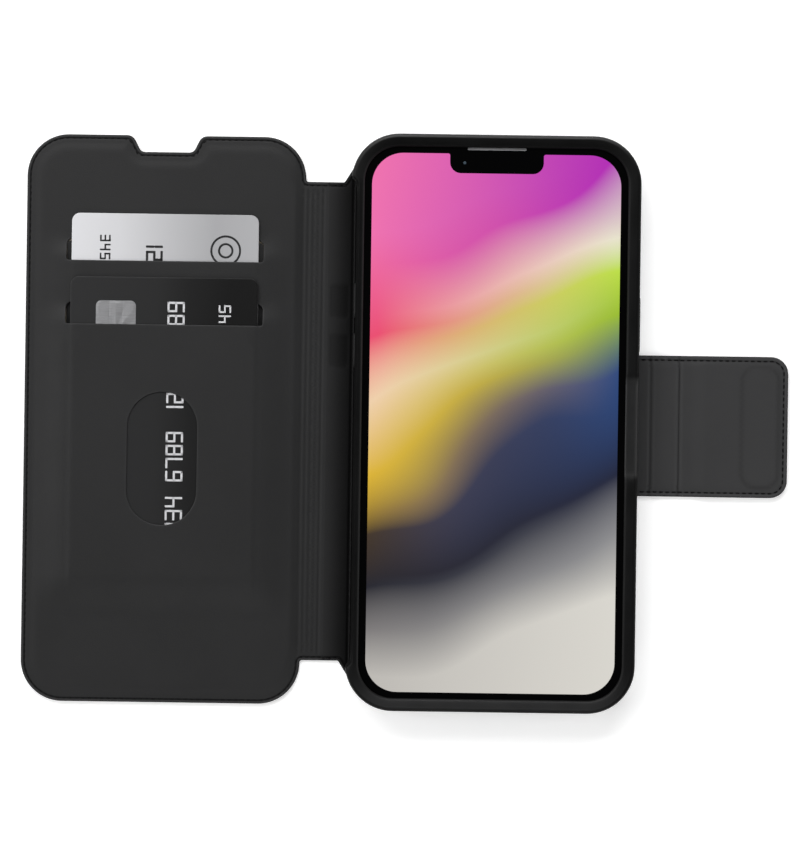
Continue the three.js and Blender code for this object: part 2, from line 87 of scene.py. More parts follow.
SPINE_FOLD = fold_x("spine_fold")
COVER_FOLD = fold_x("cover_fold")
STRAP_ROOT = fold_x("strap_root_fold")
STRAP_TIP = fold_x("strap_tip_fold")

COVER_LOW, COVER_HIGH = box("cover_leather")
TRAY_LOW, TRAY_HIGH = box("tray_shell")
PHONE_LOW, PHONE_HIGH = box("phone_frame")
GLASS_LOW, GLASS_HIGH = box("phone_front_glass")
DISPLAY_LOW, DISPLAY_HIGH = box("phone_display")
LIGHT_LOW, LIGHT_HIGH = box("light_card")
DARK_LOW, DARK_HIGH = box("dark_card")
CHIP_LOW, CHIP_HIGH = box("dark_card_chip")
STRAP_HIGH = box("strap_flap_leather")[1]
MAGNET_LOW, MAGNET_HIGH = box("strap_magnet")
PLATE_LOW, PLATE_HIGH = box("phone_camera_plate")

TRAY_X = (PHONE_LOW[0] + PHONE_HIGH[0]) / 2
TRAY_HALF_WIDTH = TRAY_HIGH[0] - TRAY_X
TRAY_HALF_HEIGHT = TRAY_HIGH[1]
TRAY_CORNER = 13.7
TRAY_WALL = 2.2
LIP_EDGE = 3.8
RIM_TOP = TRAY_HIGH[2]
GLASS_TOP = GLASS_HIGH[2]

NECK = box("spine_leather")[1][1]
SPINE_MIDDLE = (SPINE_FOLD + COVER_FOLD) / 2
COVER_RIGHT = COVER_FOLD + 0.15
COVER_MIDDLE = (LIGHT_LOW[0] + LIGHT_HIGH[0]) / 2
COVER_TOP = COVER_HIGH[1]
COVER_CORNER = 12

# Levels of the faces that show
LEATHER = 0.5
EDGE_RADIUS = 0.4
GLUE_TOP = LEATHER + 0.02
SPINE_TOP = box("spine_lining")[1][2]
COVER_SHEET = box("pocket_back")[1][2]
COVER_BORDER = COVER_SHEET - 0.32
MIDDLE_SHEET = box("pocket_divider")[1][2]
LOWER_SHEET = box("cover_lining")[1][2]
SHEET = 0.35
STRAP_SIDE_TOP = box("strap_side_lining")[1][2]
STRAP_FLAP_TOP = box("strap_flap_lining")[1][2]
FLOOR_BOTTOM = TRAY_LOW[2]
FLOOR_TOP = 1.9

# The card windows and the thumb window
LIP_UPPER = 45.6
LIP_LOWER = 27.2
SLOT_HEIGHT = 6.4
SLOT_HALF = middle_and_size("pocket_back")[1][0] / 2 + 0.1
THUMB_Y = -11.4
THUMB_WIDTH = 20.2
THUMB_HEIGHT = 38.4

# The strap
STRAP_HALF = STRAP_HIGH[1]
STRAP_EDGE = TRAY_X + TRAY_HALF_WIDTH
STRAP_SPLIT = STRAP_EDGE + 8.4
STRAP_START = STRAP_EDGE + 0.02
CREASE_ROOT = STRAP_EDGE + 4.35
CREASE_TIP = STRAP_EDGE + 12.55

# Seams lie this far in from the edge; points are added this close together where a sheet folds
COVER_SEAM = 1.0
STRAP_SEAM = 1.3
STITCH_PITCH = 1.84
STITCH_RISE = 0.07
GROOVE_DEPTH = 0.13
FAR = 1000
FOLD_COLUMN = 0.36
FOLD_ROW = 1.2

# Distances in from an edge at which a sheet has rings of points
OUTER_RINGS = (0.04, 0.12, 0.25)
EDGE_RINGS = (0.05, 0.14, 0.28)
SEAM_RINGS = (0.9, 1.1, 1.3, 1.5, 1.75, 2.2)

# Each fold's two bodies, and where along x the leather starts and stops bending
COVER_BEND = ("cover", "spine", COVER_FOLD - 4, COVER_FOLD + 4)
SPINE_BEND = ("spine", "back_case", SPINE_FOLD - 3.7, SPINE_FOLD + 1.2)
ROOT_BEND = ("back_case", "strap_side", STRAP_EDGE, 2 * STRAP_ROOT - STRAP_EDGE)
TIP_BEND = ("strap_side", "strap_flap", CREASE_TIP, 2 * STRAP_TIP - CREASE_TIP)


# ---- Outlines ----

def filleted(corners, step=0.9):
    """A closed outline through corners (x, y, radius), each rounded to its radius."""
    places = [np.array(corner[:2], float) for corner in corners]
    points = []
    for before, corner, after, (*_, radius) in zip(
            places[-1:] + places, places, places[1:] + places[:1], corners):
        if radius <= 0:
            points.append(corner)
            continue
        u = (before - corner) / np.linalg.norm(before - corner)
        v = (after - corner) / np.linalg.norm(after - corner)
        half = math.acos(np.clip(u @ v, -1, 1)) / 2
        middle = (u + v) / np.linalg.norm(u + v)
        centre = corner + middle * radius / math.sin(half)
        start = corner + u * radius / math.tan(half) - centre
        turn = math.pi - 2 * half
        sign = 1 if u[0] * v[1] - u[1] * v[0] < 0 else -1
        pieces = max(4, int(math.ceil(turn * radius / min(step, 0.25 * radius + 0.1))))
        for k in range(pieces + 1):
            a = sign * turn * k / pieces
            c, s = math.cos(a), math.sin(a)
            points.append(centre + [c * start[0] - s * start[1], s * start[0] + c * start[1]])
    outline = []
    for p, q in zip(points, points[1:] + points[:1]):
        length = np.linalg.norm(q - p)
        if length < 1e-6:
            continue
        pieces = max(1, int(round(length / step)))
        outline += [p + (q - p) * k / pieces for k in range(pieces)]
    return np.array(outline)


def rounded_rect(x, y, width, height, radius, step=0.9):
    a, b = width / 2, height / 2
    signs = [(1, -1), (1, 1), (-1, 1), (-1, -1)]
    return filleted([(x + a * sx, y + b * sy, radius) for sx, sy in signs], step)


def node_outline(node, radius, step=0.9, grow=0):
    """A rounded outline round a CAD node as seen from above, grown by a width and height."""
    middle, size = middle_and_size(node)
    return rounded_rect(middle[0], middle[1], size[0] + grow, size[1] + grow, radius, step)


def circle(x, y, radius, count=48):
    a = np.linspace(0, 2 * math.pi, count, endpoint=False)
    return np.stack([x + radius * np.cos(a), y + radius * np.sin(a)], 1)


def segments(loops, cuts=()):
    """The straight pieces of closed outlines, without those that lie on a cut at a given x."""
    a = np.vstack(loops)
    b = np.vstack([np.roll(loop, -1, 0) for loop in loops])
    real = np.ones(len(a), bool)
    for cut in cuts:
        real &= (np.abs(a[:, 0] - cut) > 0.02) | (np.abs(b[:, 0] - cut) > 0.02)
    return a[real], b[real]


def distance_to(points, lines):
    """The distance from each point to the nearest of many straight pieces."""
    a, b = lines
    ab = b - a
    length2 = np.maximum((ab ** 2).sum(1), 1e-12)
    best = np.empty(len(points))
    for first in range(0, len(points), 2000):
        p = points[first:first + 2000, None, :]
        t = np.clip(((p - a) * ab).sum(2) / length2, 0, 1)
        best[first:first + 2000] = np.linalg.norm(p - a - t[..., None] * ab, axis=2).min(1)
    return best


def inside(points, outline, holes=()):
    """Whether each point lies within a closed outline and outside its holes."""
    x, y = points[:, 0], points[:, 1]
    found = np.zeros(len(points), bool)
    for (x1, y1), (x2, y2) in zip(outline, np.roll(outline, -1, 0)):
        crosses = (y1 > y) != (y2 > y)
        if y1 != y2:
            found ^= crosses & (x < (x2 - x1) * (y - y1) / (y2 - y1) + x1)
    for hole in holes:
        found &= ~inside(points, hole)
    return found


def offset(outline, distance):
    """An outline's points moved inwards by a distance, along the normal at each."""
    after, before = np.roll(outline, -1, 0), np.roll(outline, 1, 0)
    tangent = after - before
    tangent /= np.linalg.norm(tangent, axis=1)[:, None]
    normal = np.stack([-tangent[:, 1], tangent[:, 0]], 1)
    area = 0.5 * np.sum(outline[:, 0] * after[:, 1] - after[:, 0] * outline[:, 1])
    return outline + normal * distance * (1 if area > 0 else -1)


def smooth(value, start, end):
    t = np.clip((value - start) / (end - start), 0, 1)
    return t * t * (3 - 2 * t)


def bump(distance, width):
    """1 at distance 0, falling smoothly to 0 over about twice the width."""
    return np.exp(-(distance / width) ** 2)


def rolled(distance, radius):
    """How far a face drops beside an edge that is rounded to radius."""
    t = np.clip(1 - distance / radius, 0, 1)
    return radius * (1 - np.sqrt(np.maximum(1 - t * t, 0)))


# ---- Meshes ----

def smooth_faces(work, sharp):
    """Smooth shading, but for the edges that turn by more than a number of degrees."""
    for face in work.faces:
        face.smooth = True
    for edge in work.edges:
        if len(edge.link_faces) == 2:
            edge.smooth = edge.calc_face_angle() < math.radians(sharp)


@contextmanager
def edited(mesh):
    """The mesh as a bmesh, written back when the block ends."""
    work = bmesh.new()
    work.from_mesh(mesh)
    yield work
    work.to_mesh(mesh)
    work.free()


def add_object(name, data):
    added = bpy.data.objects.new(name, data)
    bpy.context.scene.collection.objects.link(added)
    return added


def make_object(name, vertices, faces, material, sharp=35):
    mesh = bpy.data.meshes.new(name)
    mesh.from_pydata([Vector(v) * MM for v in vertices], [], faces)
    mesh.validate()
    mesh.materials.append(material)
    with edited(mesh) as work:
        bmesh.ops.recalc_face_normals(work, faces=work.faces)
        smooth_faces(work, sharp)
    return add_object(name, mesh)


def joined(parts):
    """Several (vertices, faces) as one."""
    vertices, faces = [], []
    for part_vertices, part_faces in parts:
        first = len(vertices)
        vertices += [tuple(p) for p in part_vertices]
        faces += [tuple(first + i for i in face) for face in part_faces]
    return vertices, faces


def lines_of_points(xs, low, high, step):
    ys = np.arange(low, high, step)
    return [np.stack([np.full(len(ys), x), ys], 1) for x in xs]


def inner_points(outline, loops, rings, spacing, folds, extra):
    """A staggered field of points within an outline, with straight columns where it folds."""
    every_edge = segments(loops)
    low, high = outline.min(0), outline.max(0)
    xs = np.arange(low[0] + spacing / 2, high[0], spacing)
    ys = np.arange(low[1] + spacing / 2, high[1], spacing * 0.866)
    gx, gy = np.meshgrid(xs, ys)
    gx[1::2] += spacing / 2
    field = np.stack([gx.ravel(), gy.ravel()], 1)
    for start, end in folds:
        field = field[(field[:, 0] < start - 0.3) | (field[:, 0] > end + 0.3)]
        columns = np.arange(start, end + 0.01, FOLD_COLUMN)
        extra = [*extra, *lines_of_points(columns, low[1], high[1], FOLD_ROW)]
    grid = [field[distance_to(field, every_edge) > max([0, *rings]) + spacing * 0.45]]
    if len(extra):
        extra = np.vstack(extra)
        grid.append(extra[distance_to(extra, every_edge) > 0.12])
    return grid


def fill(outline, holes, points):
    """Triangles over an outline, round its holes, through points that start with the outlines'."""
    edges, start = [], 0
    for count in [len(loop) for loop in (outline, *holes)]:
        edges += [(start + i, start + (i + 1) % count) for i in range(count)]
        start += count
    flat, _, triangles, *_ = geometry.delaunay_2d_cdt([Vector(p) for p in points], edges, [], 2, 1e-4)
    flat = np.array([tuple(p) for p in flat])
    centre = np.array([flat[list(t)].mean(0) for t in triangles])
    good = inside(centre, outline, holes)
    return flat, [tuple(t) for t, ok in zip(triangles, good) if ok]


def sheet_mesh(outline, holes, top, bottom, rings, spacing, cuts=(), extra=(), hole_rings=None, folds=()):
    """Vertices and faces of a flat piece, and each point's distance to the nearest real edge and
    to the nearest hole. top and bottom are height functions; cuts are the places along x where
    the outline cuts through a longer sheet, and isn't an edge; extra is further points; folds
    are the (low, high) stretches of x that bend."""
    loops = [outline, *holes]
    every_edge = segments(loops)
    grid = [np.vstack(loops)]
    for loop, sign in [(outline, 1), *((hole, -1) for hole in holes)]:
        for ring in (rings if sign > 0 or hole_rings is None else hole_rings):
            moved = offset(loop, sign * ring)
            grid.append(moved[distance_to(moved, every_edge) > ring - 0.02])
    points = np.vstack(grid + inner_points(outline, loops, rings, spacing, folds, extra))
    keep = inside(points, outline, holes)
    keep[:sum(len(loop) for loop in loops)] = True
    flat, triangles = fill(outline, holes, points[keep])
    to_edge = distance_to(flat, segments([outline], cuts))
    to_hole = distance_to(flat, segments(holes)) if holes else np.full(len(flat), FAR)
    count = len(flat)
    layers = []
    for height in (top, bottom):
        levels = height(flat[:, 0], flat[:, 1], to_edge, to_hole)
        layers.append(np.column_stack([flat, np.broadcast_to(levels, count)]))
    faces = list(triangles) + [tuple(count + i for i in reversed(t)) for t in triangles]
    sides = {}
    for t in triangles:
        for a, b in zip(t, t[1:] + t[:1]):
            if (b, a) in sides:
                del sides[(b, a)]
            else:
                sides[(a, b)] = True
    faces += [(b, a, count + a, count + b) for a, b in sides]
    return np.vstack(layers), faces, to_edge, to_hole


def sheet(name, material, outline, top, bottom, holes=(), rings=(), spacing=2.0, seam=None, **places):
    vertices, faces, edge, hole = sheet_mesh(outline, list(holes), top, bottom, rings, spacing, **places)
    piece = make_object(name, vertices, faces, material)
    # seam gives each point's painted shade: darker above 0, lighter below
    if seam is not None:
        x, y = vertices[:len(edge), 0], vertices[:len(edge), 1]
        store_painted_shade(piece, np.tile(seam(x, y, edge, hole), 2))
    return piece


def store_painted_shade(piece, values):
    """Stores each point's painted shade (above 0), in a seam, crease or shadow, or painted light (below).
    """
    attribute = piece.data.attributes.new("seam", "FLOAT", "POINT")
    attribute.data.foreach_set("value", np.asarray(values, np.float32))


def level(value):
    return lambda x, y, edge, hole: np.full(len(x), float(value))


def over(z, radius):
    """The height function of an upper face at z whose edge is rounded."""
    return lambda x, y, edge, hole: z - rolled(edge, radius)


def under(z, radius):
    return lambda x, y, edge, hole: z + rolled(edge, radius)


def fix(piece, body, slot, *nodes):
    """Fixes a piece to a body, in place of some CAD nodes; the slot is not used."""
    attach(piece, body)
    if nodes:
        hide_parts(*nodes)


def fix_bent(piece, bend, slot, *nodes):
    """For a piece across a fold: bakes its place into its mesh and hides some CAD nodes; bend and slot are
    not used.
    """
    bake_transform(piece)
    if nodes:
        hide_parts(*nodes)


# ---- Stitches ----

def walk(line, pitch):
    """Points and directions every pitch along a polyline."""
    steps = np.linalg.norm(np.diff(line, axis=0), axis=1)
    along = np.concatenate([[0], np.cumsum(steps)])
    places = np.arange(pitch / 2, along[-1], pitch)
    x, y = (np.interp(places, along, line[:, axis]) for axis in (0, 1))
    ahead_x, ahead_y = (np.interp(places + 0.05, along, line[:, axis]) for axis in (0, 1))
    return zip(x, y, np.arctan2(ahead_y - y, ahead_x - x))


def stitch_body():
    """One stitch along x: a short rounded thread whose ends sink."""
    sides, rings, half, radius = 8, 7, 0.7, 0.2
    body, faces = [], []
    for u in np.linspace(-1, 1, rings):
        swell = radius * math.sqrt(max(1 - abs(u) ** 5, 0.02))
        sink = -0.16 * abs(u) ** 4
        for k in range(sides):
            a = 2 * math.pi * k / sides
            body.append((u * half, swell * math.cos(a), sink + swell * 0.75 * math.sin(a)))
    for first in range(0, (rings - 1) * sides, sides):
        for k in range(sides):
            n = (k + 1) % sides
            faces.append((first + k, first + n, first + sides + n, first + sides + k))
    faces.append(tuple(range(sides - 1, -1, -1)))
    faces.append(tuple(range((rings - 1) * sides, rings * sides)))
    return np.array(body), faces


def stitches(name, line, surface, seam):
    """A row of single stitches along a line that is a seam's distance in from the edge."""
    body, faces = stitch_body()
    row = []
    for x, y, angle in walk(line, STITCH_PITCH):
        c, s = math.cos(angle), math.sin(angle)
        z = surface(np.array([x]), np.array([y]), np.array([seam]), FAR)[0] + STITCH_RISE
        row.append(([(x + c * px - s * py, y + s * px + c * py, z + pz) for px, py, pz in body], faces))
    return make_object(name, *joined(row), THREAD, 60)


# ---- Materials ----

# The most that painted shade takes away leaves this share of a surface's own colour
DARKEST_PAINTED_SHADE = 0.15


class Tree:
    """A node tree, with short names for the few kinds of node used here. An underscore in the
    name of an input stands for a space."""

    def __init__(self, tree, coordinates="Object"):
        self.nodes, self.links = tree.nodes, tree.links
        self.place = self.nodes.new("ShaderNodeTexCoord").outputs[coordinates]

    def add(self, kind, source=None, socket=0, **inputs):
        """Adds a node, linked from a source, with values for its inputs."""
        node = self.nodes.new("ShaderNode" + kind)
        for name, value in inputs.items():
            node.inputs[name.replace("_", " ")].default_value = value
        if source is not None:
            self.links.new(source, node.inputs[socket])
        return node

    def noise(self, scale, detail=4, place=None):
        source = self.place if place is None else place
        node = self.add("TexNoise", source, "Vector", Scale=scale, Detail=detail, Roughness=0.55)
        return node.outputs["Fac"]

    def maths(self, operation, *values):
        node = self.add("Math")
        node.operation = operation
        for socket, value in zip(node.inputs, values):
            if isinstance(value, (int, float)):
                socket.default_value = value
            else:
                self.links.new(value, socket)
        return node.outputs[0]

    def ramp(self, value, stops):
        node = self.add("ValToRGB", value, "Fac")
        band = node.color_ramp
        while len(band.elements) < len(stops):
            band.elements.new(0.5)
        for element, (position, colour) in zip(band.elements, stops):
            element.position = position
            element.color = (*colour, 1)
        return node.outputs["Color"]

    def split(self):
        return self.add("SeparateXYZ", self.place).outputs

    def fraction(self, axis, low, high):
        """How far along an axis a point lies between two places in millimetres, from 0 to 1."""
        ahead = self.maths("SUBTRACT", self.split()[axis], low * MM)
        return self.maths("DIVIDE", ahead, (high - low) * MM)


class Look(Tree):
    """A material and its shader."""

    def __init__(self, name):
        self.material = bpy.data.materials.new(name)
        self.material.use_nodes = True
        super().__init__(self.material.node_tree)
        self.shader = self.nodes["Principled BSDF"]

    def set(self, **inputs):
        """Sets inputs of the shader to values, or links them."""
        for name, value in inputs.items():
            socket = self.shader.inputs[name.replace("_", " ")]
            if isinstance(value, (int, float, tuple)):
                socket.default_value = value
            else:
                self.links.new(value, socket)

    def relief(self, height, strength, distance):
        node = self.add("Bump", height, "Height", Strength=strength, Distance=distance)
        self.set(Normal=node.outputs["Normal"])

    def apply_painted_shade(self, colour, specular):
        """Sets the base colour and the gloss, both scaled by the painted shade stored on the mesh."""
        seam = self.add("Attribute")
        seam.attribute_name = "seam"
        shade = self.maths("MAXIMUM", self.maths("SUBTRACT", 1.0, seam.outputs["Fac"]), DARKEST_PAINTED_SHADE)
        tint = self.add("VectorMath", colour)
        tint.operation = "SCALE"
        self.links.new(shade, tint.inputs["Scale"])
        self.set(Base_Color=tint.outputs[0], Specular_IOR_Level=self.maths("MULTIPLY", shade, specular))

    def uneven_roughness(self, scale, detail, low, high, start=0.3, end=0.7):
        stops = [(start, (low,) * 3), (end, (high,) * 3)]
        self.set(Roughness=self.ramp(self.noise(scale, detail), stops))


def grey(value):
    return (value, value, value * 1.03)


def between(low, high):
    return [(0.3, low), (0.7, high)]


def leather(name, dark, light, grain, roughness, strength):
    """Fine pebbled leather: cells with soft creases between them, and a slow change of tone."""
    look = Look(name)
    cells = look.add("TexVoronoi", look.place, "Vector", Scale=1 / (grain * MM))
    cells.feature = "SMOOTH_F1"
    fine = look.noise(2.2 / (grain * MM), 3)
    hollows = look.maths("MULTIPLY", cells.outputs["Distance"], -1.0)
    look.relief(look.maths("ADD", hollows, look.maths("MULTIPLY", fine, 0.5)), strength, 0.00006)
    look.apply_painted_shade(look.ramp(look.noise(28, 5), between(grey(dark), grey(light))), 0.25)
    look.uneven_roughness(140, 4, roughness - 0.02, roughness + 0.03)
    return look.material


def cloth(name, colour):
    """A thin plain-woven lining cloth."""
    look = Look(name)
    axes = look.split()
    across, along = (look.maths("SINE", look.maths("MULTIPLY", axes[i], 15000.0), 0) for i in (0, 1))
    look.relief(look.maths("MULTIPLY", across, along), 0.5, 0.00005)
    shade = look.ramp(look.noise(300, 3), between(grey(colour * 0.7), grey(colour)))
    look.set(Base_Color=shade, Roughness=0.9)
    return look.material


def thread(name, colour):
    """Twisted sewing thread."""
    look = Look(name)
    wave = look.add("TexWave", look.place, "Vector", Scale=2600, Distortion=0.6)
    wave.bands_direction = "DIAGONAL"
    look.relief(wave.outputs["Fac"], 0.6, 0.00005)
    stops = [(0.0, grey(colour * 0.6)), (1.0, grey(colour * 1.3))]
    look.set(Base_Color=look.ramp(wave.outputs["Fac"], stops), Roughness=0.75, Specular_IOR_Level=0.12)
    return look.material


def moulded(name, colour, roughness):
    """Soft moulded plastic with a very fine spark-eroded texture."""
    look = Look(name)
    look.relief(look.noise(4500, 2), 0.2, 0.00003)
    look.apply_painted_shade(look.ramp(look.noise(45), between(grey(colour * 0.9), grey(colour * 1.1))), 0.3)
    look.uneven_roughness(90, 3, roughness - 0.04, roughness + 0.05)
    return look.material


def brushed(name, colour, roughness, stretch=(1, 40, 40)):
    """Metal with fine brushed lines."""
    look = Look(name)
    mapping = look.add("Mapping", look.place, "Vector", Scale=stretch)
    lines = look.noise(260, 3, mapping.outputs[0])
    look.relief(lines, 0.15, 0.00003)
    shade = look.ramp(lines, [(0.35, grey(colour * 0.85)), (0.65, grey(colour * 1.1))])
    look.set(Base_Color=shade, Metallic=1, Roughness=roughness)
    return look.material


def glossy(name, colour, roughness=0.06):
    """Polished black glass with a trace of smears."""
    look = Look(name)
    look.uneven_roughness(35, 4, roughness, roughness + 0.07, 0.4, 0.75)
    look.set(Base_Color=look.ramp(look.noise(20, 2), between(colour, tuple(c * 1.2 for c in colour))))
    return look.material


def raw_board(name):
    look = Look(name)
    fibres = look.noise(900, 5)
    look.relief(fibres, 0.4, 0.00005)
    look.set(Base_Color=look.ramp(fibres, between((0.1, 0.085, 0.06), (0.22, 0.19, 0.14))), Roughness=0.95)
    return look.material


def card_face(name, low, high, stops, scale, wobble):
    """Laminated card, whose tone changes from its left edge to its right, not quite straight."""
    look = Look(name)
    drift = look.maths("MULTIPLY", look.noise(scale, 2), wobble)
    across = look.maths("ADD", look.fraction(0, low[0], high[0]), drift)
    shade = look.ramp(across, [(place, grey(tone)) for place, tone in stops])
    look.relief(look.noise(2500, 2), 0.05, 0.00002)
    look.set(Base_Color=shade, Roughness=0.4, Specular_IOR_Level=0.3)
    return look.material


def ink_and_painted_glint(name, colour, roughness=0.4):
    """Printed or raised ink, and the painted glint on the selfie lens, very slightly uneven."""
    look = Look(name)
    darker = tuple(c * 0.85 for c in colour)
    look.set(Base_Color=look.ramp(look.noise(1500, 3), between(darker, colour)), Roughness=roughness)
    return look.material


SCREEN_LEFT = [
    (0.0, (0.5, 0.48, 0.45)), (0.1, (0.2, 0.19, 0.19)), (0.2, (0.012, 0.012, 0.02)),
    (0.32, (0.05, 0.03, 0.012)), (0.42, (0.72, 0.45, 0.03)), (0.5, (0.85, 0.62, 0.4)),
    (0.62, (0.82, 0.07, 0.16)), (0.85, (0.85, 0.16, 0.42))]
SCREEN_RIGHT = [
    (0.0, (0.68, 0.66, 0.61)), (0.12, (0.25, 0.25, 0.26)), (0.22, (0.01, 0.014, 0.04)),
    (0.36, (0.02, 0.06, 0.2)), (0.46, (0.3, 0.5, 0.02)), (0.58, (0.5, 0.72, 0.06)),
    (0.66, (0.8, 0.76, 0.6)), (0.78, (0.42, 0.015, 0.46))]


def lit_screen(name):
    """A lit panel with a plain slanting gradient, whose colours differ from left to right."""
    look = Look(name)
    across = look.fraction(0, DISPLAY_LOW[0], DISPLAY_HIGH[0])
    up = look.fraction(1, DISPLAY_LOW[1], DISPLAY_HIGH[1])
    drift = look.maths("MULTIPLY", look.maths("SUBTRACT", look.noise(14, 1), 0.5), 0.35)
    slant = look.maths("ADD", look.maths("ADD", up, drift), look.maths("MULTIPLY", across, -0.22))
    mix = look.add("Mix")
    mix.data_type = "RGBA"
    look.links.new(look.maths("ADD", across, drift), mix.inputs["Factor"])
    look.links.new(look.ramp(slant, SCREEN_LEFT), mix.inputs[6])
    look.links.new(look.ramp(slant, SCREEN_RIGHT), mix.inputs[7])
    look.set(Base_Color=(0.01, 0.01, 0.01, 1), Emission_Color=mix.outputs[2], Emission_Strength=1.0,
             Roughness=0.05)
    return look.material


def floor_paper(name):
    """White paper, lit from within further out so that it stays white to the horizon."""
    look = Look(name)
    reach = look.add("VectorMath", look.place)
    reach.operation = "LENGTH"
    glow = look.add("MapRange", reach.outputs["Value"], "Value", From_Min=0.15, From_Max=0.8,
                    To_Min=0.35, To_Max=1.0)
    shade = look.ramp(look.noise(3, 2), [(0.0, (0.9,) * 3), (1.0, (0.93,) * 3)])
    look.set(Base_Color=shade, Roughness=0.9, Specular_IOR_Level=0, Emission_Color=(1, 1, 1, 1),
             Emission_Strength=glow.outputs["Result"])
    return look.material


LIGHT_TONES = [(0.0, 0.63), (0.3, 0.56), (0.6, 0.42), (0.8, 0.34), (1.0, 0.37)]
DARK_TONES = [(0.0, 0.019), (0.5, 0.016), (0.68, 0.008), (0.9, 0.003), (1.0, 0.003)]

OUTER = leather("outer_leather", 0.0128, 0.0142, 0.75, 0.52, 0.8)
LINING = leather("lining_leather", 0.0132, 0.0155, 0.4, 0.56, 0.3)
# The strap's lining is the same lining leather, painted about twice as light for the light the raised strap
# catches
STRAP_LINING_PAINTED_LIGHT = leather("strap_lining_painted_light", 0.029, 0.032, 0.4, 0.56, 0.3)
CLOTH = cloth("pocket_cloth", 0.006)
THREAD = thread("black_thread", 0.004)
PLASTIC = moulded("tray_plastic", 0.0055, 0.45)
BLACK_GLASS = glossy("black_glass", (0.0006, 0.0006, 0.0007))
METAL = brushed("phone_metal", 0.12, 0.28)
STEEL = brushed("plain_steel", 0.5, 0.35)
CHIP = brushed("chip_metal", 0.42, 0.45, (1, 25, 1))
BOARD = raw_board("raw_board")
LIGHT_FACE = card_face("light_card_face", LIGHT_LOW, LIGHT_HIGH, LIGHT_TONES, 30, 0.06)
DARK_FACE = card_face("dark_card_face", DARK_LOW, DARK_HIGH, DARK_TONES, 25, 0.08)
DARK_INK = ink_and_painted_glint("dark_ink", (0.012, 0.012, 0.013))
PALE_INK = ink_and_painted_glint("pale_ink", (0.62, 0.62, 0.64))
SCREEN = lit_screen("screen_gradient")
GRILLE = brushed("earpiece_mesh", 0.6, 0.4)
FLASH = ink_and_painted_glint("flash_lens", (0.8, 0.76, 0.62), 0.25)
# A painted glint: a small bluish disc on the selfie lens that stands in for light it reflects
PAINTED_GLINT = ink_and_painted_glint("lens_painted_glint", (0.05, 0.07, 0.09), 0.2)


def finish_node(name, material):
    """Gives a CAD node that shows its own material."""
    piece = frame["nodes"][name]
    piece.data.materials.clear()
    piece.data.materials.append(material)


# ---- The cover ----

FOLD_GROOVES = [COVER_FOLD - 0.55 + 1.45 * k for k in range(5)]
NOTCH_DEPTH = 4.8
NOTCH_HALF_TOP = 9.95
NOTCH_HALF_FLOOR = 7.6


def notch_corners(inset):
    """The speaker notch in the cover's top edge, from right to left."""
    top, floor = COVER_TOP - inset, COVER_TOP - NOTCH_DEPTH - inset
    wide, narrow = NOTCH_HALF_TOP + inset * 0.8, NOTCH_HALF_FLOOR + inset * 0.8
    middle = (COVER_LOW[0] + COVER_RIGHT) / 2
    outer, inner = 2.6 + inset, max(2.0 - inset, 0.6)
    return [(middle + wide, top, outer), (middle + narrow, floor, inner),
            (middle - narrow, floor, inner), (middle - wide, top, outer)]


def cover_corners(inset=0.0):
    """The cover with its half of the spine, from the spine's lower cut round to its upper cut."""
    left, right, top, neck = COVER_LOW[0] + inset, COVER_RIGHT - inset, COVER_TOP - inset, NECK - inset
    outer = COVER_CORNER - inset
    inner = 0.7 + inset
    return [(left, -top, outer), (right, -top, outer), (right, -neck, inner), (SPINE_MIDDLE, -neck, 0),
            (SPINE_MIDDLE, neck, 0), (right, neck, inner), (right, top, outer),
            *notch_corners(inset), (left, top, outer)]


def cover_rise(x):
    """0 on the spine and 1 on the cover, for levels that change across the fold."""
    return smooth(x, COVER_FOLD - 0.4, COVER_FOLD - 3.2)


def parting(x):
    """The height where the outer leather meets the lining at the edge."""
    return LEATHER + 0.42 * cover_rise(x)


def pocket_bulge(x, y):
    """How far the lining stands up over the cards, with soft sides beyond the cards' edges."""
    aside = np.abs(x - COVER_MIDDLE)
    across = 1 - 0.12 * smooth(aside, 26.2, 27.4) - 0.88 * smooth(aside, 26.8, 37.5)
    one = smooth(y, LIP_UPPER + 7, LIP_UPPER + 0.4)
    two = smooth(y, LIP_LOWER + 6.4, LIP_LOWER + 0.4)
    fade = smooth(y, -58, -45)
    rise = (MIDDLE_SHEET - COVER_SHEET) * one + (LOWER_SHEET - MIDDLE_SHEET) * two
    return across * rise * fade


def sunk_seam(edge, seam):
    return GROOVE_DEPTH * bump(edge - seam, 0.42)


def fold_relief(x, edge):
    """The grooves pressed across the fold, and the low ridges between them."""
    total = 0
    for groove in FOLD_GROOVES:
        pressed = GROOVE_DEPTH * bump(x - groove, 0.26) * smooth(edge, 1.6, 2.6)
        total = total - pressed + 0.04 * bump(x - groove - 0.72, 0.3)
    return total


def lining_top(x, y, edge, hole):
    rise = cover_rise(x)
    inner = COVER_SHEET - (COVER_SHEET - COVER_BORDER) * (1 - smooth(edge, 2.0, 4.6))
    base = SPINE_TOP + (inner - SPINE_TOP) * rise
    height = base + pocket_bulge(x, y) * rise - sunk_seam(edge, COVER_SEAM) + fold_relief(x, edge)
    return height - rolled(edge, 0.45) - rolled(hole, 0.16)


def lining_bottom(x, y, edge, hole):
    rise = cover_rise(x)
    inner = (COVER_SHEET - SHEET) * rise + GLUE_TOP * (1 - rise)
    over_cards = inner + pocket_bulge(x, y) * rise
    return np.where(edge < 2.7, parting(x) + 0.02, np.maximum(over_cards, parting(x) + 0.02))


def seam_painted_shade(edge, seam=COVER_SEAM, depth=0.72):
    """Painted shade in the sewn groove and on the cut edge, and a painted highlight on the bead between
    them.
    """
    bead_highlight = 0.6 * bump(edge - seam * 0.5, 0.2)
    return depth * bump(edge - seam, 0.24) + 0.75 * bump(edge, 0.2) - bead_highlight


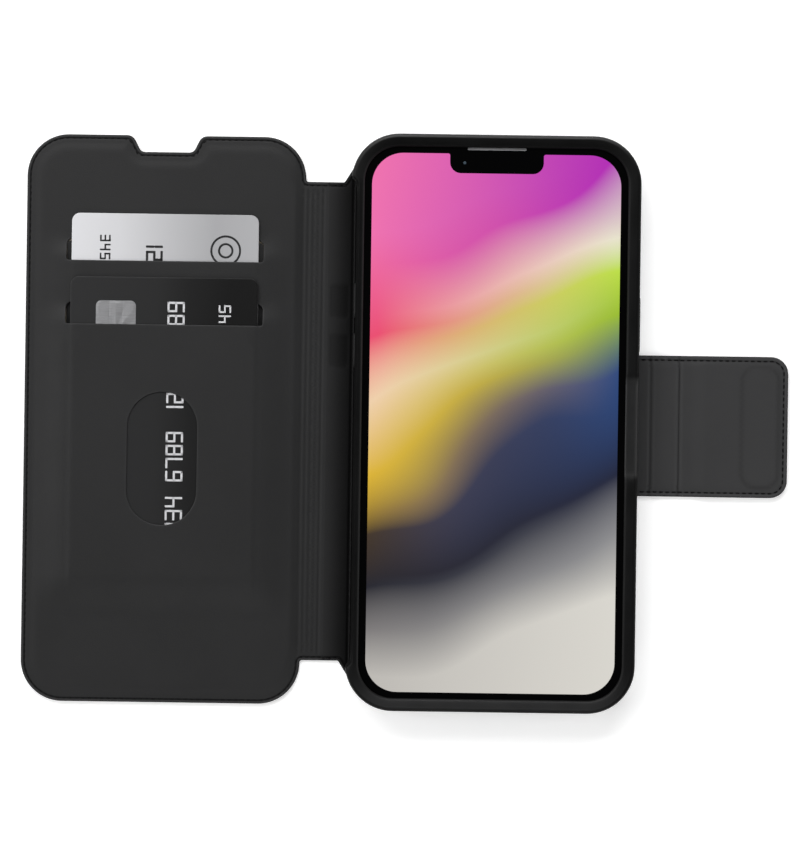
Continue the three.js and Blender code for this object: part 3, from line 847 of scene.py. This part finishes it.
# Painted shade in the fold's grooves, and a painted highlight on the ridges between them
def fold_shade(x, edge):
    total = 0
    for groove in FOLD_GROOVES:
        total = total + 0.16 * bump(x - groove, 0.3) - 0.08 * bump(x - groove - 0.72, 0.3)
    return total * smooth(edge, 1.6, 2.6)


# Painted shade in the seam and fold grooves, and lighter along the windows' edges
def cover_shade(x, y, edge, hole):
    return seam_painted_shade(edge) + fold_shade(x, edge) - 0.3 * bump(hole, 0.3)


def window(lip):
    """A card window: a straight lip below, and round upper corners at its ends."""
    low, high = lip, lip + SLOT_HEIGHT
    left, right = COVER_MIDDLE - SLOT_HALF, COVER_MIDDLE + SLOT_HALF
    return filleted([(left, low, 0.7), (right, low, 0.7), (right, high, 1.9), (left, high, 1.9)], 0.8)


def cover_outer_top(x, y, edge, hole):
    return np.where(edge < 0.42, parting(x), LEATHER)


def cover_seam_line():
    """The sewn line round the cover, open where the cover meets the spine's cut."""
    seam = filleted(cover_corners(COVER_SEAM), 0.4)
    seam = np.vstack([seam, seam[:1]])
    real = seam[seam[:, 0] < SPINE_MIDDLE - 0.3]
    split = int(np.argmax(np.linalg.norm(np.diff(real, axis=0), axis=1)))
    return np.vstack([real[split + 1:], real[:split + 1]])


def make_cover():
    outline = filleted(cover_corners())
    cut = [SPINE_MIDDLE]
    thumb = rounded_rect(COVER_MIDDLE, THUMB_Y, THUMB_WIDTH, THUMB_HEIGHT, THUMB_WIDTH / 2 - 0.05, 0.7)
    card_sides = [COVER_MIDDLE + s * d for s in (-1, 1) for d in (26.2, 26.8, 27.4, 28.4)]
    detail = lines_of_points(card_sides, -60, LIP_UPPER + 9, 1.0)
    folds = [(COVER_BEND[2], SPINE_MIDDLE - 0.2)]
    lining = sheet("cover_lining_sheet", LINING, outline, lining_top, lining_bottom,
                   [window(LIP_UPPER), window(LIP_LOWER), thumb],
                   rings=(*EDGE_RINGS, 0.45, *SEAM_RINGS, 2.8, 3.6, 4.6), spacing=1.35, cuts=cut,
                   extra=detail, hole_rings=(0.05, 0.12, 0.3, 0.7), folds=folds, seam=cover_shade)
    fix_bent(lining, COVER_BEND, "lining_leather", "cover_lining")
    outer = sheet("cover_outer_leather", OUTER, outline, cover_outer_top,
                  under(0, EDGE_RADIUS), rings=(*OUTER_RINGS, 0.41, 0.43, 1.0), spacing=2.6, cuts=cut,
                  folds=folds)
    fix_bent(outer, COVER_BEND, "outer_leather", "cover_leather")
    row = stitches("cover_stitches", cover_seam_line(), lining_top, COVER_SEAM)
    fix_bent(row, COVER_BEND, "thread", "cover_stitching")


# ---- Cards ----

# The lit bars of each digit from 0 to 9: a top, b and c right, d foot, e and f left, g middle
DIGIT_BARS = ("abcdef", "bc", "abged", "abgcd", "fgbc", "afgcd", "afgecd", "abc", "abcdefg", "abcdfg")


def digit(value, x, y, tall, wide, turn, weight=1.0):
    """A plain digit of straight bars on its side, its head to the left (turn 1) or the right (-1)."""
    w = (0.16 * wide + 0.12) * weight
    side, half = (wide - w) / 2, tall / 4
    bars = {"a": (0, (tall - w) / 2, wide, w), "d": (0, -(tall - w) / 2, wide, w), "g": (0, 0, wide, w),
            "b": (side, half, w, tall / 2), "c": (side, -half, w, tall / 2),
            "f": (-side, half, w, tall / 2), "e": (-side, -half, w, tall / 2)}
    placed = [bars[name] for name in DIGIT_BARS[value % 10]]
    return [(x - turn * v, y + turn * u, height, width, w * 0.3) for u, v, width, height in placed]


def card_marks(name, material, specs, z, body, slot):
    """Small flat marks on a card: (x, y, width, height, radius) each."""
    raised = 0.03
    parts = [sheet_mesh(rounded_rect(*spec, 0.4), [], over(z + raised, raised), level(z - 0.01), (raised,),
                        1.0)[:2] for spec in specs]
    fix(make_object(name, *joined(parts), material), body, slot)


def make_card(name, node, material, body, slot):
    low, high = box(node)
    card = sheet(name, material, node_outline(node, 2.4, 0.4), over(high[2], 0.12), under(low[2], 0.12),
                 rings=(0.03, 0.07, 0.12, 0.4), spacing=5)
    fix(card, body, slot, node)


def ring_mark(x, y, radius, z, width=0.6):
    """A plain emblem: a ring round a small ring."""
    return joined(sheet_mesh(circle(x, y, r), [circle(x, y, r - width)[::-1]], level(z + 0.02),
                             level(z - 0.01), (), 3.0)[:2] for r in (radius, radius * 0.5))


def light_marks():
    top = LIGHT_HIGH[1]
    marks = []
    for k in range(3):
        marks += digit(k + 3, COVER_MIDDLE - 17.3, top - 7.2 - 2.6 * k, 3.1, 1.9, -1, 1.15)
    for k in range(2):
        marks += digit(k + 1, COVER_MIDDLE - 3.1, top - 8.4 - 3.75 * k, 4.9, 2.9, -1, 1.2)
    return marks


def dark_marks():
    """A long row of digits in groups of four, and a short row beside it."""
    top = DARK_HIGH[1]
    marks = []
    for k in range(19):
        if k % 5 != 4:
            marks += digit(19 - k, COVER_MIDDLE + 3.55, top - 8.5 - 3.75 * k, 5.0, 3.0, 1)
    for k in range(3):
        marks += digit(5 - k, COVER_MIDDLE + 17.6, top - 8.9 - 2.9 * k, 3.6, 2.2, 1)
    return marks


def make_chip():
    chip, size = middle_and_size("dark_card_chip")

    def contact_top(x, y, edge, hole):
        """Thin lines between the contacts, and facets that fan out from the lower middle."""
        aside = np.abs(x - chip[0])
        line = np.minimum(np.abs(aside - 1.9), np.abs(y - chip[1]) + 9 * (aside < 1.9))
        turn = np.arctan2(x - chip[0], y - chip[1] + size[1] / 2)
        facet = np.abs((turn * 3) % 2 - 1)
        lines = rolled(edge, 0.03) + 0.03 * bump(line, 0.1)
        return CHIP_HIGH[2] + 0.05 - lines + 0.06 * facet * smooth(edge, 0, 0.8)

    plate = sheet("dark_card_contact", CHIP, node_outline("dark_card_chip", 1.5, 0.4), contact_top,
                  level(CHIP_LOW[2] - 0.01), rings=(0.03, 0.1), spacing=0.22)
    fix(plate, "dark_card_body", "card_chip", "dark_card_chip")


def make_cards():
    make_card("light_card_body_face", "light_card", LIGHT_FACE, "light_card_body", "light_card")
    make_card("dark_card_body_face", "dark_card", DARK_FACE, "dark_card_body", "dark_card")
    card_marks("light_card_marks", DARK_INK, light_marks(), LIGHT_HIGH[2], "light_card_body", "dark_card")
    emblem = ring_mark(COVER_MIDDLE + 17.5, LIGHT_HIGH[1] - 10.4, 4.45, LIGHT_HIGH[2])
    fix(make_object("light_card_emblem", *emblem, DARK_INK), "light_card_body", "dark_card")
    card_marks("dark_card_marks", PALE_INK, dark_marks(), DARK_HIGH[2], "dark_card_body", "light_card")
    make_chip()


# ---- The spine and the back ----

def flare_points():
    """Where the leather meets the spine's edge, and where it reaches the tray's corner."""
    centre = np.array([TRAY_X - TRAY_HALF_WIDTH + TRAY_CORNER, TRAY_HALF_HEIGHT - TRAY_CORNER])
    foot = np.array([TRAY_X - TRAY_HALF_WIDTH - 2.2, NECK])
    to_centre = centre - foot
    reach = np.linalg.norm(to_centre)
    heading = math.atan2(to_centre[1], to_centre[0]) + math.asin(TRAY_CORNER / reach)
    top = TRAY_HALF_HEIGHT
    crown = foot[0] + (top - foot[1]) / math.tan(heading)
    return foot, np.array([crown, top])


def back_corners():
    """The back with its half of the spine, from the spine's cut round."""
    foot, crown = flare_points()
    right, top = TRAY_X + TRAY_HALF_WIDTH, TRAY_HALF_HEIGHT
    return [(SPINE_MIDDLE, -NECK, 0), (foot[0], -NECK, 0.7), (crown[0], -top, TRAY_CORNER),
            (right, -top, TRAY_CORNER), (right, top, TRAY_CORNER), (crown[0], top, TRAY_CORNER),
            (foot[0], NECK, 0.7), (SPINE_MIDDLE, NECK, 0)]


def camera_window():
    return node_outline("phone_camera_plate", 10.5, 0.7, 3)[::-1]


def key_print(x, y):
    """The faint marks that the volume keys leave on the spine's lining."""
    depth = 0
    for node in ("volume_up_key", "volume_down_key"):
        low, high = box(node)
        middle = (low[1] + high[1]) / 2
        dx = np.abs(x - (SPINE_FOLD - 3.4)) - 1.7
        dy = np.abs(y - middle) - (high[1] - low[1]) / 2 + 1.2
        gap = np.hypot(np.maximum(dx, 0), np.maximum(dy, 0)) - 1.0
        depth = depth + 0.12 * (1 - smooth(gap, -0.5, 0.3))
    return depth


def spine_top(x, y, edge, hole):
    height = SPINE_TOP - sunk_seam(edge, COVER_SEAM) - key_print(x, y) + fold_relief(x, edge)
    return height - rolled(edge, 0.42)


def spine_shade(x, y, edge, hole):
    """Painted shade in the spine's seams, grooves and key prints; painted shadow where it dips in against
    the tray's wall.
    """
    wall_shadow = 0.68 * smooth(x, SPINE_FOLD - 9.6, SPINE_FOLD + 0.2)
    return seam_painted_shade(edge) + fold_shade(x, edge) + wall_shadow + key_print(x, y)


def back_outer_top(x, y, edge, hole):
    near_tray = x > SPINE_FOLD + 0.9
    return np.where(near_tray & (edge < 0.4), FLOOR_BOTTOM - 0.02, LEATHER)


def back_outer_bottom(x, y, edge, hole):
    pressed = 0.1 * bump(hole - 1.6, 0.35)
    return rolled(edge, EDGE_RADIUS) + rolled(hole, 0.3) + pressed


def make_back():
    cut = [SPINE_MIDDLE]
    outer = sheet("back_outer_leather", OUTER, filleted(back_corners()), back_outer_top, back_outer_bottom,
                  [camera_window()], rings=(*OUTER_RINGS, 0.39, 0.41, 1.0, 1.3, 1.6, 2.0), spacing=2.6,
                  cuts=cut, folds=[(SPINE_MIDDLE + 0.2, SPINE_BEND[3] + 0.4)])
    fix_bent(outer, SPINE_BEND, "outer_leather", "back_leather", "spine_leather")

    foot, crown = flare_points()
    hidden = TRAY_X - TRAY_HALF_WIDTH + 1.4
    flare = NECK + (hidden - foot[0]) / (crown[0] - foot[0]) * (TRAY_HALF_HEIGHT - NECK)
    half = [(SPINE_MIDDLE, -NECK, 0), (foot[0], -NECK, 0.7), (hidden, -flare, 0)]
    outline = filleted(half + [(x, -y, radius) for x, y, radius in reversed(half)])
    lining = sheet("spine_lining_sheet", LINING, outline, spine_top, level(GLUE_TOP),
                   rings=(*EDGE_RINGS, 0.42, *SEAM_RINGS), spacing=0.8, cuts=cut,
                   folds=[(SPINE_MIDDLE + 0.2, hidden - 0.2)], seam=spine_shade)
    fix_bent(lining, SPINE_BEND, "lining_leather", "spine_lining")

    for end, sign in (("top", 1), ("bottom", -1)):
        y = sign * (NECK - COVER_SEAM)
        line = np.array([[SPINE_MIDDLE, y], [foot[0] + 1.6, y]])
        row = stitches(f"spine_stitches_{end}", line, spine_top, COVER_SEAM)
        fix_bent(row, SPINE_BEND, "thread")


# ---- The tray ----

def tray_path(step=1.4):
    """Points of the tray's outline with outward normals, counter-clockwise."""
    half_w, half_h, r = TRAY_HALF_WIDTH, TRAY_HALF_HEIGHT, TRAY_CORNER
    arcs = []
    for sx, sy, start in [(1, -1, -90), (1, 1, 0), (-1, 1, 90), (-1, -1, 180)]:
        a = np.radians(start + 90 * np.arange(17) / 16)
        normals = np.stack([np.cos(a), np.sin(a)], 1)
        arcs.append((np.array([TRAY_X + sx * (half_w - r), sy * (half_h - r)]) + r * normals, normals))
    path = []
    for (arc, normals), (following, _) in zip(arcs, arcs[1:] + arcs[:1]):
        path += zip(arc, normals)
        way = following[0] - arc[-1]
        steps = int(round(np.linalg.norm(way) / step))
        path += [(arc[-1] + way * k / steps, normals[-1]) for k in range(1, steps)]
    return path


def rim_profile(recess, scoop):
    """The wall's section, from its outer foot over the rim and round to its inner foot, as
    (distance in from the outline, height). recess and scoop are 1 where the wall steps in behind
    the spine, and where the rim dips beside the strap."""
    cut = 1.45 * recess
    drop = 0.62 * scoop
    under_lip = GLASS_TOP + 0.06
    return [
        (0.35 + cut, FLOOR_BOTTOM), (0.08 + cut, FLOOR_BOTTOM + 0.25), (cut, FLOOR_BOTTOM + 0.7),
        (cut, 3.0), (cut, 5.5), (cut, 8.0), (cut, 9.6 - 0.6 * recess - drop),
        (0.07 + cut, 10.05 - 0.5 * recess - drop), (0.24 + cut + 0.1 * recess, 10.4 - 0.35 * recess - drop),
        (0.5 + cut + 0.15 * recess, 10.66 - 0.22 * recess - drop),
        (0.85 + cut * 0.85 + 0.1 * recess, 10.8 - 0.1 * recess - drop),
        (1.3 + cut * 0.7, RIM_TOP - drop), (2.2 + cut * 0.35, RIM_TOP - 0.03 - drop * 0.9),
        (3.1, RIM_TOP - 0.1 - drop * 0.7), (3.5, RIM_TOP - 0.2 - drop * 0.6),
        (3.72, RIM_TOP - 0.42 - drop * 0.4), (LIP_EDGE, RIM_TOP - 0.7 - drop * 0.2),
        (LIP_EDGE, under_lip), (TRAY_WALL + 0.1, under_lip), (TRAY_WALL + 0.02, 9.0),
        (TRAY_WALL + 0.02, 5.5), (TRAY_WALL + 0.02, FLOOR_TOP), (TRAY_WALL + 0.3, FLOOR_TOP),
        (TRAY_WALL + 0.3, FLOOR_BOTTOM),
    ]


# How the rim's outer roll, top and inner lip are shaded on each side: above 0 darker, below 0 brighter
RIM_SHADES = {"top": (-0.2, 0.66, 0.8), "bottom": (0.6, -0.55, 0.45), "right": (0.7, 0.5, 0.45),
              "left": (0.5, 0.45, 0.2)}
SCOOP_SHADE = -0.25


def rim_shade(nx, ny, inward, z, recess, scoop):
    """The rim is turned from the light above it on some sides and towards it on others."""
    part = 0 if inward < 1.1 else 1 if inward < 3.3 else 2
    across = RIM_SHADES["right" if nx > 0 else "left"][part]
    along = RIM_SHADES["top" if ny > 0 else "bottom"][part]
    shade = nx * nx * across + ny * ny * along
    # Painted shadow on the wall in the spine's recess, with less of it on the top of the inner lip
    in_recess = 0.1 if part == 2 and z > RIM_TOP - 0.9 else 0.6
    shade += (in_recess - shade) * recess
    return shade + (SCOOP_SHADE - shade) * scoop


def recess_and_scoop(y, nx):
    """How far the wall is in the spine's recess, and in the scoop beside the strap, from 0 to 1."""
    recess_half = NECK + 0.35
    low, high = -14.4, 12.6
    recess = (1 - smooth(abs(y), recess_half - 1.2, recess_half + 0.8)) if nx < -0.9 else 0.0
    scoop = smooth(y, low - 1.3, low + 0.4) * (1 - smooth(y, high - 0.4, high + 1.3)) if nx > 0.9 else 0.0
    return recess, scoop


def make_tray():
    rows, vertices, shades = 0, [], []
    for (x, y), (nx, ny) in tray_path():
        recess, scoop = recess_and_scoop(y, nx)
        profile = rim_profile(recess, scoop)
        rows += 1
        for inward, z in profile:
            vertices.append((x - nx * inward, y - ny * inward, z))
            shades.append(rim_shade(nx, ny, inward, z, recess, scoop))
    count = len(profile)
    faces = []
    for i in range(rows):
        here, there = i * count, (i + 1) % rows * count
        for k in range(count):
            m = (k + 1) % count
            faces.append((here + k, there + k, there + m, here + m))
    shell = make_object("tray_rim_and_walls", vertices, faces, PLASTIC, 50)
    store_painted_shade(shell, shades)
    cut_windows(shell)
    fix(shell, "back_case", "tray_plastic", "tray_shell")

    inner_w = 2 * (TRAY_HALF_WIDTH - TRAY_WALL - 0.25)
    inner_h = 2 * (TRAY_HALF_HEIGHT - TRAY_WALL - 0.25)
    floor = sheet("tray_floor", PLASTIC, rounded_rect(TRAY_X, 0, inner_w, inner_h, 11.3), level(FLOOR_TOP),
                  level(FLOOR_BOTTOM), [camera_window()], rings=(0.3,), spacing=6)
    fix(floor, "back_case", "tray_plastic")


def cutter(x, y, z, size, radius, axis):
    """A rounded block for cutting a window through a wall, lying along X or Y."""
    width = size[1] if axis == "x" else size[0]
    depth = size[0] if axis == "x" else size[1]
    block, faces, *_ = sheet_mesh(rounded_rect(0, 0, width, size[2], radius, 0.5), [], level(depth / 2),
                                  level(-depth / 2), (), 30)
    turned = [(pz, px, py) if axis == "x" else (px, pz, py) for px, py, pz in block]
    return make_object("window_cutter", [(a + x, b + y, c + z) for a, b, c in turned], faces, PLASTIC)


def window_cutters():
    """Cutters for the port window, the ring switch window and the three key holes."""
    left = TRAY_X - TRAY_HALF_WIDTH
    right = TRAY_X + TRAY_HALF_WIDTH
    key_z = middle_and_size("side_key")[0][2]
    tools = [cutter(TRAY_X, -TRAY_HALF_HEIGHT + 0.4, key_z, (44, 4.2, 5.5), 2.5, "y"),
             cutter(left + 1.8, 48.5, key_z, (4, 9, 4), 1.6, "x")]
    for node, wall_x in (("volume_up_key", left + 1.8), ("volume_down_key", left + 1.8),
                         ("side_key", right - 1.0)):
        middle, size = middle_and_size(node)
        tools.append(cutter(wall_x, middle[1], key_z, (4, size[1] + 0.3, size[2] + 0.3), 1.6, "x"))
    return tools


def cut_windows(shell):
    tools = window_cutters()
    for tool in tools:
        modifier = shell.modifiers.new("window", "BOOLEAN")
        modifier.operation = "DIFFERENCE"
        modifier.solver = "EXACT"
        modifier.object = tool
    depsgraph = bpy.context.evaluated_depsgraph_get()
    result = bpy.data.meshes.new_from_object(shell.evaluated_get(depsgraph))
    shell.modifiers.clear()
    shell.data = result
    for tool in tools:
        bpy.data.objects.remove(tool)
    with edited(result) as work:
        smooth_faces(work, 40)


def make_key(name, node, body):
    """A domed pad over a key."""
    low, high = box(node)
    middle, size = (low + high) / 2, high - low
    outward = -1 if middle[0] < TRAY_X else 1
    inner = high[0] if outward < 0 else low[0]
    outline = rounded_rect(0, 0, size[2], size[1], size[2] / 2 - 0.02, 0.35)
    rings = (0.04, 0.1, 0.2, 0.32, 0.6)
    dome, faces, *_ = sheet_mesh(outline, [], over(size[0], 0.28), level(0), rings, 0.7)
    moved = [(inner + outward * pz, middle[1] + py, middle[2] + px) for px, py, pz in dome]
    fix(make_object(name, moved, faces, PLASTIC), body, "tray_plastic", node)


# ---- The phone ----

def display_corners(grow=0.0):
    """The lit display, with the notch in its upper edge."""
    low, high = DISPLAY_LOW, DISPLAY_HIGH
    middle = (low[0] + high[0]) / 2
    half = 13.4 - grow
    left, right, bottom, top = low[0] - grow, high[0] + grow, low[1] - grow, high[1] + grow
    notch = high[1] - 5.6 + grow
    r = 9.0 + grow
    return [(left, bottom, r), (right, bottom, r), (right, top, r), (middle + half, top, 0.55),
            (middle + half, notch, 3.1), (middle - half, notch, 3.1), (middle - half, top, 0.55),
            (left, top, r)]


def make_glass():
    ear, ear_size = middle_and_size("phone_earpiece")
    slit = rounded_rect((GLASS_LOW[0] + GLASS_HIGH[0]) / 2, ear[1], ear_size[0] + 0.1, 0.9, 0.44, 0.4)[::-1]
    border = sheet("phone_glass_border", BLACK_GLASS, node_outline("phone_front_glass", 12.1),
                   over(GLASS_TOP, 0.3), level(GLASS_LOW[2]), [filleted(display_corners())[::-1], slit],
                   rings=(0.05, 0.15, 0.3), spacing=3, hole_rings=())
    fix(border, "back_case", "phone_glass", "phone_front_glass")
    screen = sheet("phone_screen", SCREEN, filleted(display_corners(-0.004)), level(GLASS_TOP),
                   level(DISPLAY_HIGH[2]), spacing=6)
    fix(screen, "back_case", "phone_screen", "phone_display")


def make_selfie_camera():
    spot = middle_and_size("phone_selfie_camera")[0]
    lens = sheet("phone_selfie_lens", BLACK_GLASS, circle(spot[0], spot[1], 1.5),
                 lambda x, y, edge, hole: GLASS_TOP + 0.01 + 0.02 * smooth(edge, 0, 1.5),
                 level(GLASS_TOP - 0.1), rings=(0.2, 0.5), spacing=0.5)
    fix(lens, "back_case", "phone_glass", "phone_selfie_camera")
    # A painted glint: a small raised bluish disc that stands in for the lens's reflection
    glint = circle(spot[0] + 0.15, spot[1] - 0.1, 0.42, 20)
    painted_glint_disc = sheet("phone_selfie_painted_glint", PAINTED_GLINT, glint, level(GLASS_TOP + 0.05), level(GLASS_TOP),
                    spacing=0.4)
    fix(painted_glint_disc, "back_case", "phone_glass")


def lathe(name, profile, centre, material, steps=56):
    """A round piece from a profile of (radius, z) points, about a vertical axis."""
    vertices, faces = [], []
    for k in range(steps):
        a = 2 * math.pi * k / steps
        vertices += [(centre[0] + r * math.cos(a), centre[1] + r * math.sin(a), z) for r, z in profile]
    n = len(profile)
    for k in range(steps):
        m = (k + 1) % steps
        for i in range(n - 1):
            faces.append((k * n + i, m * n + i, m * n + i + 1, k * n + i + 1))
    piece = make_object(name, vertices, faces, material, 40)
    with edited(piece.data) as work:
        bmesh.ops.remove_doubles(work, verts=work.verts, dist=1e-7)
        bmesh.ops.recalc_face_normals(work, faces=work.faces)
    return piece


def make_lens(where):
    """A camera lens: a metal ring, with glass that steps down to a small dark iris."""
    node = f"phone_lens_{where}"
    low, high = box(node)
    centre, radius = (low + high) / 2, (high[0] - low[0]) / 2
    base, face = high[2] + 0.04, low[2]
    ring = [(0, base), (radius, base), (radius, face + 0.12), (radius - 0.12, face), (radius - 0.8, face),
            (radius - 0.9, face + 0.1), (radius - 0.9, face + 0.2), (0, face + 0.2)]
    fix(lathe(f"lens_ring_{where}", ring, centre, METAL), "back_case", "phone_metal", node)
    glass = [(0, face + 0.19), (radius - 0.95, face + 0.19), (radius - 0.95, face + 0.1),
             (radius - 1.3, face + 0.07), (radius * 0.45, face + 0.07), (radius * 0.42, face + 0.12),
             (radius * 0.3, face + 0.1), (0, face + 0.08)]
    fix(lathe(f"lens_glass_{where}", glass, centre, BLACK_GLASS), "back_case", "phone_glass")


def make_cameras():
    raised = sheet("phone_camera_bump", BLACK_GLASS, node_outline("phone_camera_plate", 9, 0.6),
                   level(PLATE_HIGH[2]), under(PLATE_LOW[2], 0.5), rings=(0.05, 0.15, 0.3, 0.5, 1.0),
                   spacing=4)
    fix(raised, "back_case", "phone_glass", "phone_camera_plate")
    for where in ("upper", "lower", "side"):
        make_lens(where)


# ---- The strap ----

def strap_level(x):
    return STRAP_SIDE_TOP + (STRAP_FLAP_TOP - STRAP_SIDE_TOP) * smooth(x, STRAP_TIP - 2.5, STRAP_TIP + 3)


def magnet_gap(x, y):
    """The distance outside the magnet's rounded outline, which shows faintly through the leather."""
    corner = 4.4
    dx = np.abs(x - (MAGNET_LOW[0] + MAGNET_HIGH[0]) / 2) - (MAGNET_HIGH[0] - MAGNET_LOW[0]) / 2 + corner
    dy = np.abs(y) - MAGNET_HIGH[1] + corner
    return np.hypot(np.maximum(dx, 0), np.maximum(dy, 0)) - corner


def strap_top(x, y, edge, hole):
    height = strap_level(x) - sunk_seam(edge, STRAP_SEAM) - 0.1 * (1 - smooth(edge, 1.9, 3.2))
    for crease in (CREASE_ROOT, CREASE_TIP):
        height = height - 0.22 * bump(x - crease, 0.3) + 0.07 * bump(np.abs(x - crease) - 0.8, 0.4)
    gap = magnet_gap(x, y)
    height = height + 0.09 * (1 - smooth(gap, -0.5, 0.5)) - 0.06 * bump(gap - 0.7, 0.5)
    return height - rolled(edge, 0.42)


def strap_shade(x, y, edge, hole):
    # Painted shade in the seam, the creases and round the magnet's outline, and painted highlights on the
    # ridges beside the creases
    total = seam_painted_shade(edge, STRAP_SEAM, 0.3)
    for crease in (CREASE_ROOT, CREASE_TIP):
        total = total + 0.45 * bump(x - crease, 0.25) - 0.12 * bump(np.abs(x - crease) - 0.8, 0.4)
    return total + 0.2 * bump(magnet_gap(x, y), 0.6)


def strap_part(name, left, right, cuts, radius, bend, outer_nodes, lining_nodes, fold):
    corners = [(left, -STRAP_HALF, 0), (right, -STRAP_HALF, radius), (right, STRAP_HALF, radius),
               (left, STRAP_HALF, 0)]
    outline = filleted(corners, 0.8)
    outer = sheet(f"{name}_outer", OUTER, outline, level(LEATHER), under(0, EDGE_RADIUS),
                  rings=(*OUTER_RINGS, 0.4), spacing=1.5, cuts=cuts, folds=[fold])
    lining = sheet(f"{name}_lining", STRAP_LINING_PAINTED_LIGHT, outline, strap_top, level(GLUE_TOP),
                   rings=(*EDGE_RINGS, 0.42, *SEAM_RINGS, 3.0), spacing=1.0, cuts=cuts, folds=[fold],
                   seam=strap_shade)
    fix_bent(outer, bend, "outer_leather", *outer_nodes)
    fix_bent(lining, bend, "lining_leather", *lining_nodes)


def make_strap():
    """Two sheets that meet between the strap's two folds, each across one of them."""
    strap_part("strap_root", STRAP_START, STRAP_SPLIT, [STRAP_START, STRAP_SPLIT], 0, ROOT_BEND,
               ["strap_side_leather", "strap_anchor_tab"], ["strap_side_lining", "strap_side_board"],
               (STRAP_START + 0.2, STRAP_SPLIT - 0.2))
    strap_part("strap_end", STRAP_SPLIT, STRAP_HIGH[0], [STRAP_SPLIT], 5, TIP_BEND,
               ["strap_flap_leather"], ["strap_flap_lining", "strap_flap_board", "strap_magnet"],
               (STRAP_SPLIT + 0.2, TIP_BEND[3] + 0.5))
    half = STRAP_HALF - STRAP_SEAM
    for end, sign, nodes in (("top", 1, ["strap_side_stitching"]), ("bottom", -1, [])):
        line = np.array([[STRAP_START + 1.2, sign * half], [STRAP_SPLIT, sign * half]])
        row = stitches(f"strap_root_stitches_{end}", line, strap_top, STRAP_SEAM)
        fix_bent(row, ROOT_BEND, "thread", *nodes)
    left, right = STRAP_SPLIT - 5, STRAP_HIGH[0] - STRAP_SEAM
    loop = filleted([(left, -half, 0), (right, -half, 3.7), (right, half, 3.7), (left, half, 0)], 0.4)
    row = stitches("strap_end_stitches", loop[loop[:, 0] > STRAP_SPLIT], strap_top, STRAP_SEAM)
    fix_bent(row, TIP_BEND, "thread", "strap_flap_stitching")


# ---- Studio ----

def add_area(name, location, size, power):
    """A soft rectangular light that faces the middle of the case; location and size in metres."""
    data = bpy.data.lights.new(name, "AREA")
    data.shape = "RECTANGLE"
    data.size, data.size_y = size
    data.energy = power
    lamp = add_object(name, data)
    lamp.location = location
    lamp.rotation_euler = (-Vector(location)).to_track_quat("-Z", "Y").to_euler()


def make_world():
    """White near the horizon and dark overhead, so that the lights shape what faces up."""
    world = bpy.data.worlds.new("studio_world")
    bpy.context.scene.world = world
    world.use_nodes = True
    sky = Tree(world.node_tree, "Generated")
    stops = [(0.0, (1, 1, 1)), (0.16, (1, 1, 1)), (0.4, (0.02, 0.02, 0.02))]
    sky.links.new(sky.ramp(sky.split()["Z"], stops), sky.nodes["Background"].inputs["Color"])


def make_studio():
    reach, below = 3000, -0.02
    corners = [(x * reach, y * reach, below) for x, y in ((-1, -1), (1, -1), (1, 1), (-1, 1))]
    floor = make_object("studio_floor", corners, [(0, 1, 2, 3)], floor_paper("pale_floor"))
    make_world()
    add_area("key_light", (-0.2, 0.8, 0.75), (1.4, 0.5), 13)
    add_area("front_light", (0.1, -1.1, 0.95), (1.4, 0.8), 8)
    add_area("left_light", (-1.2, 0.1, 0.9), (0.8, 1.4), 8)
    add_area("right_light", (1.2, 0.0, 0.9), (0.8, 1.4), 4)
    bpy.context.scene.view_settings.view_transform = "Standard"


def make_camera():
    """Straight above the open case, from far enough off to be nearly free of perspective."""
    data = bpy.data.cameras.new("camera")
    data.sensor_fit = "HORIZONTAL"
    data.sensor_width = 36
    distance = 700
    pixels_per_mm = 3.504
    image_width = 800
    data.lens = pixels_per_mm * data.sensor_width / image_width * distance
    data.clip_end = 20
    camera = add_object("camera", data)
    camera.location = Vector((-1.675, 0.385, RIM_TOP + distance)) * MM
    camera.rotation_euler = (0, 0, math.radians(0.82))
    bpy.context.scene.camera = camera


make_camera()
make_cover()
make_cards()
make_back()
make_tray()
make_key("volume_up_pad", "volume_up_key", "volume_up")
make_key("volume_down_pad", "volume_down_key", "volume_down")
make_key("side_pad", "side_key", "side_button")
make_glass()
make_selfie_camera()
make_cameras()
make_strap()

for node, material in {
        "phone_earpiece": GRILLE, "phone_frame": METAL, "phone_back_glass": BLACK_GLASS,
        "phone_flash": FLASH, "back_board": BOARD, "cover_board": BOARD, "pocket_back": CLOTH,
        "pocket_divider": CLOTH, "cover_magnet_plate": STEEL}.items():
    finish_node(node, material)
make_studio()
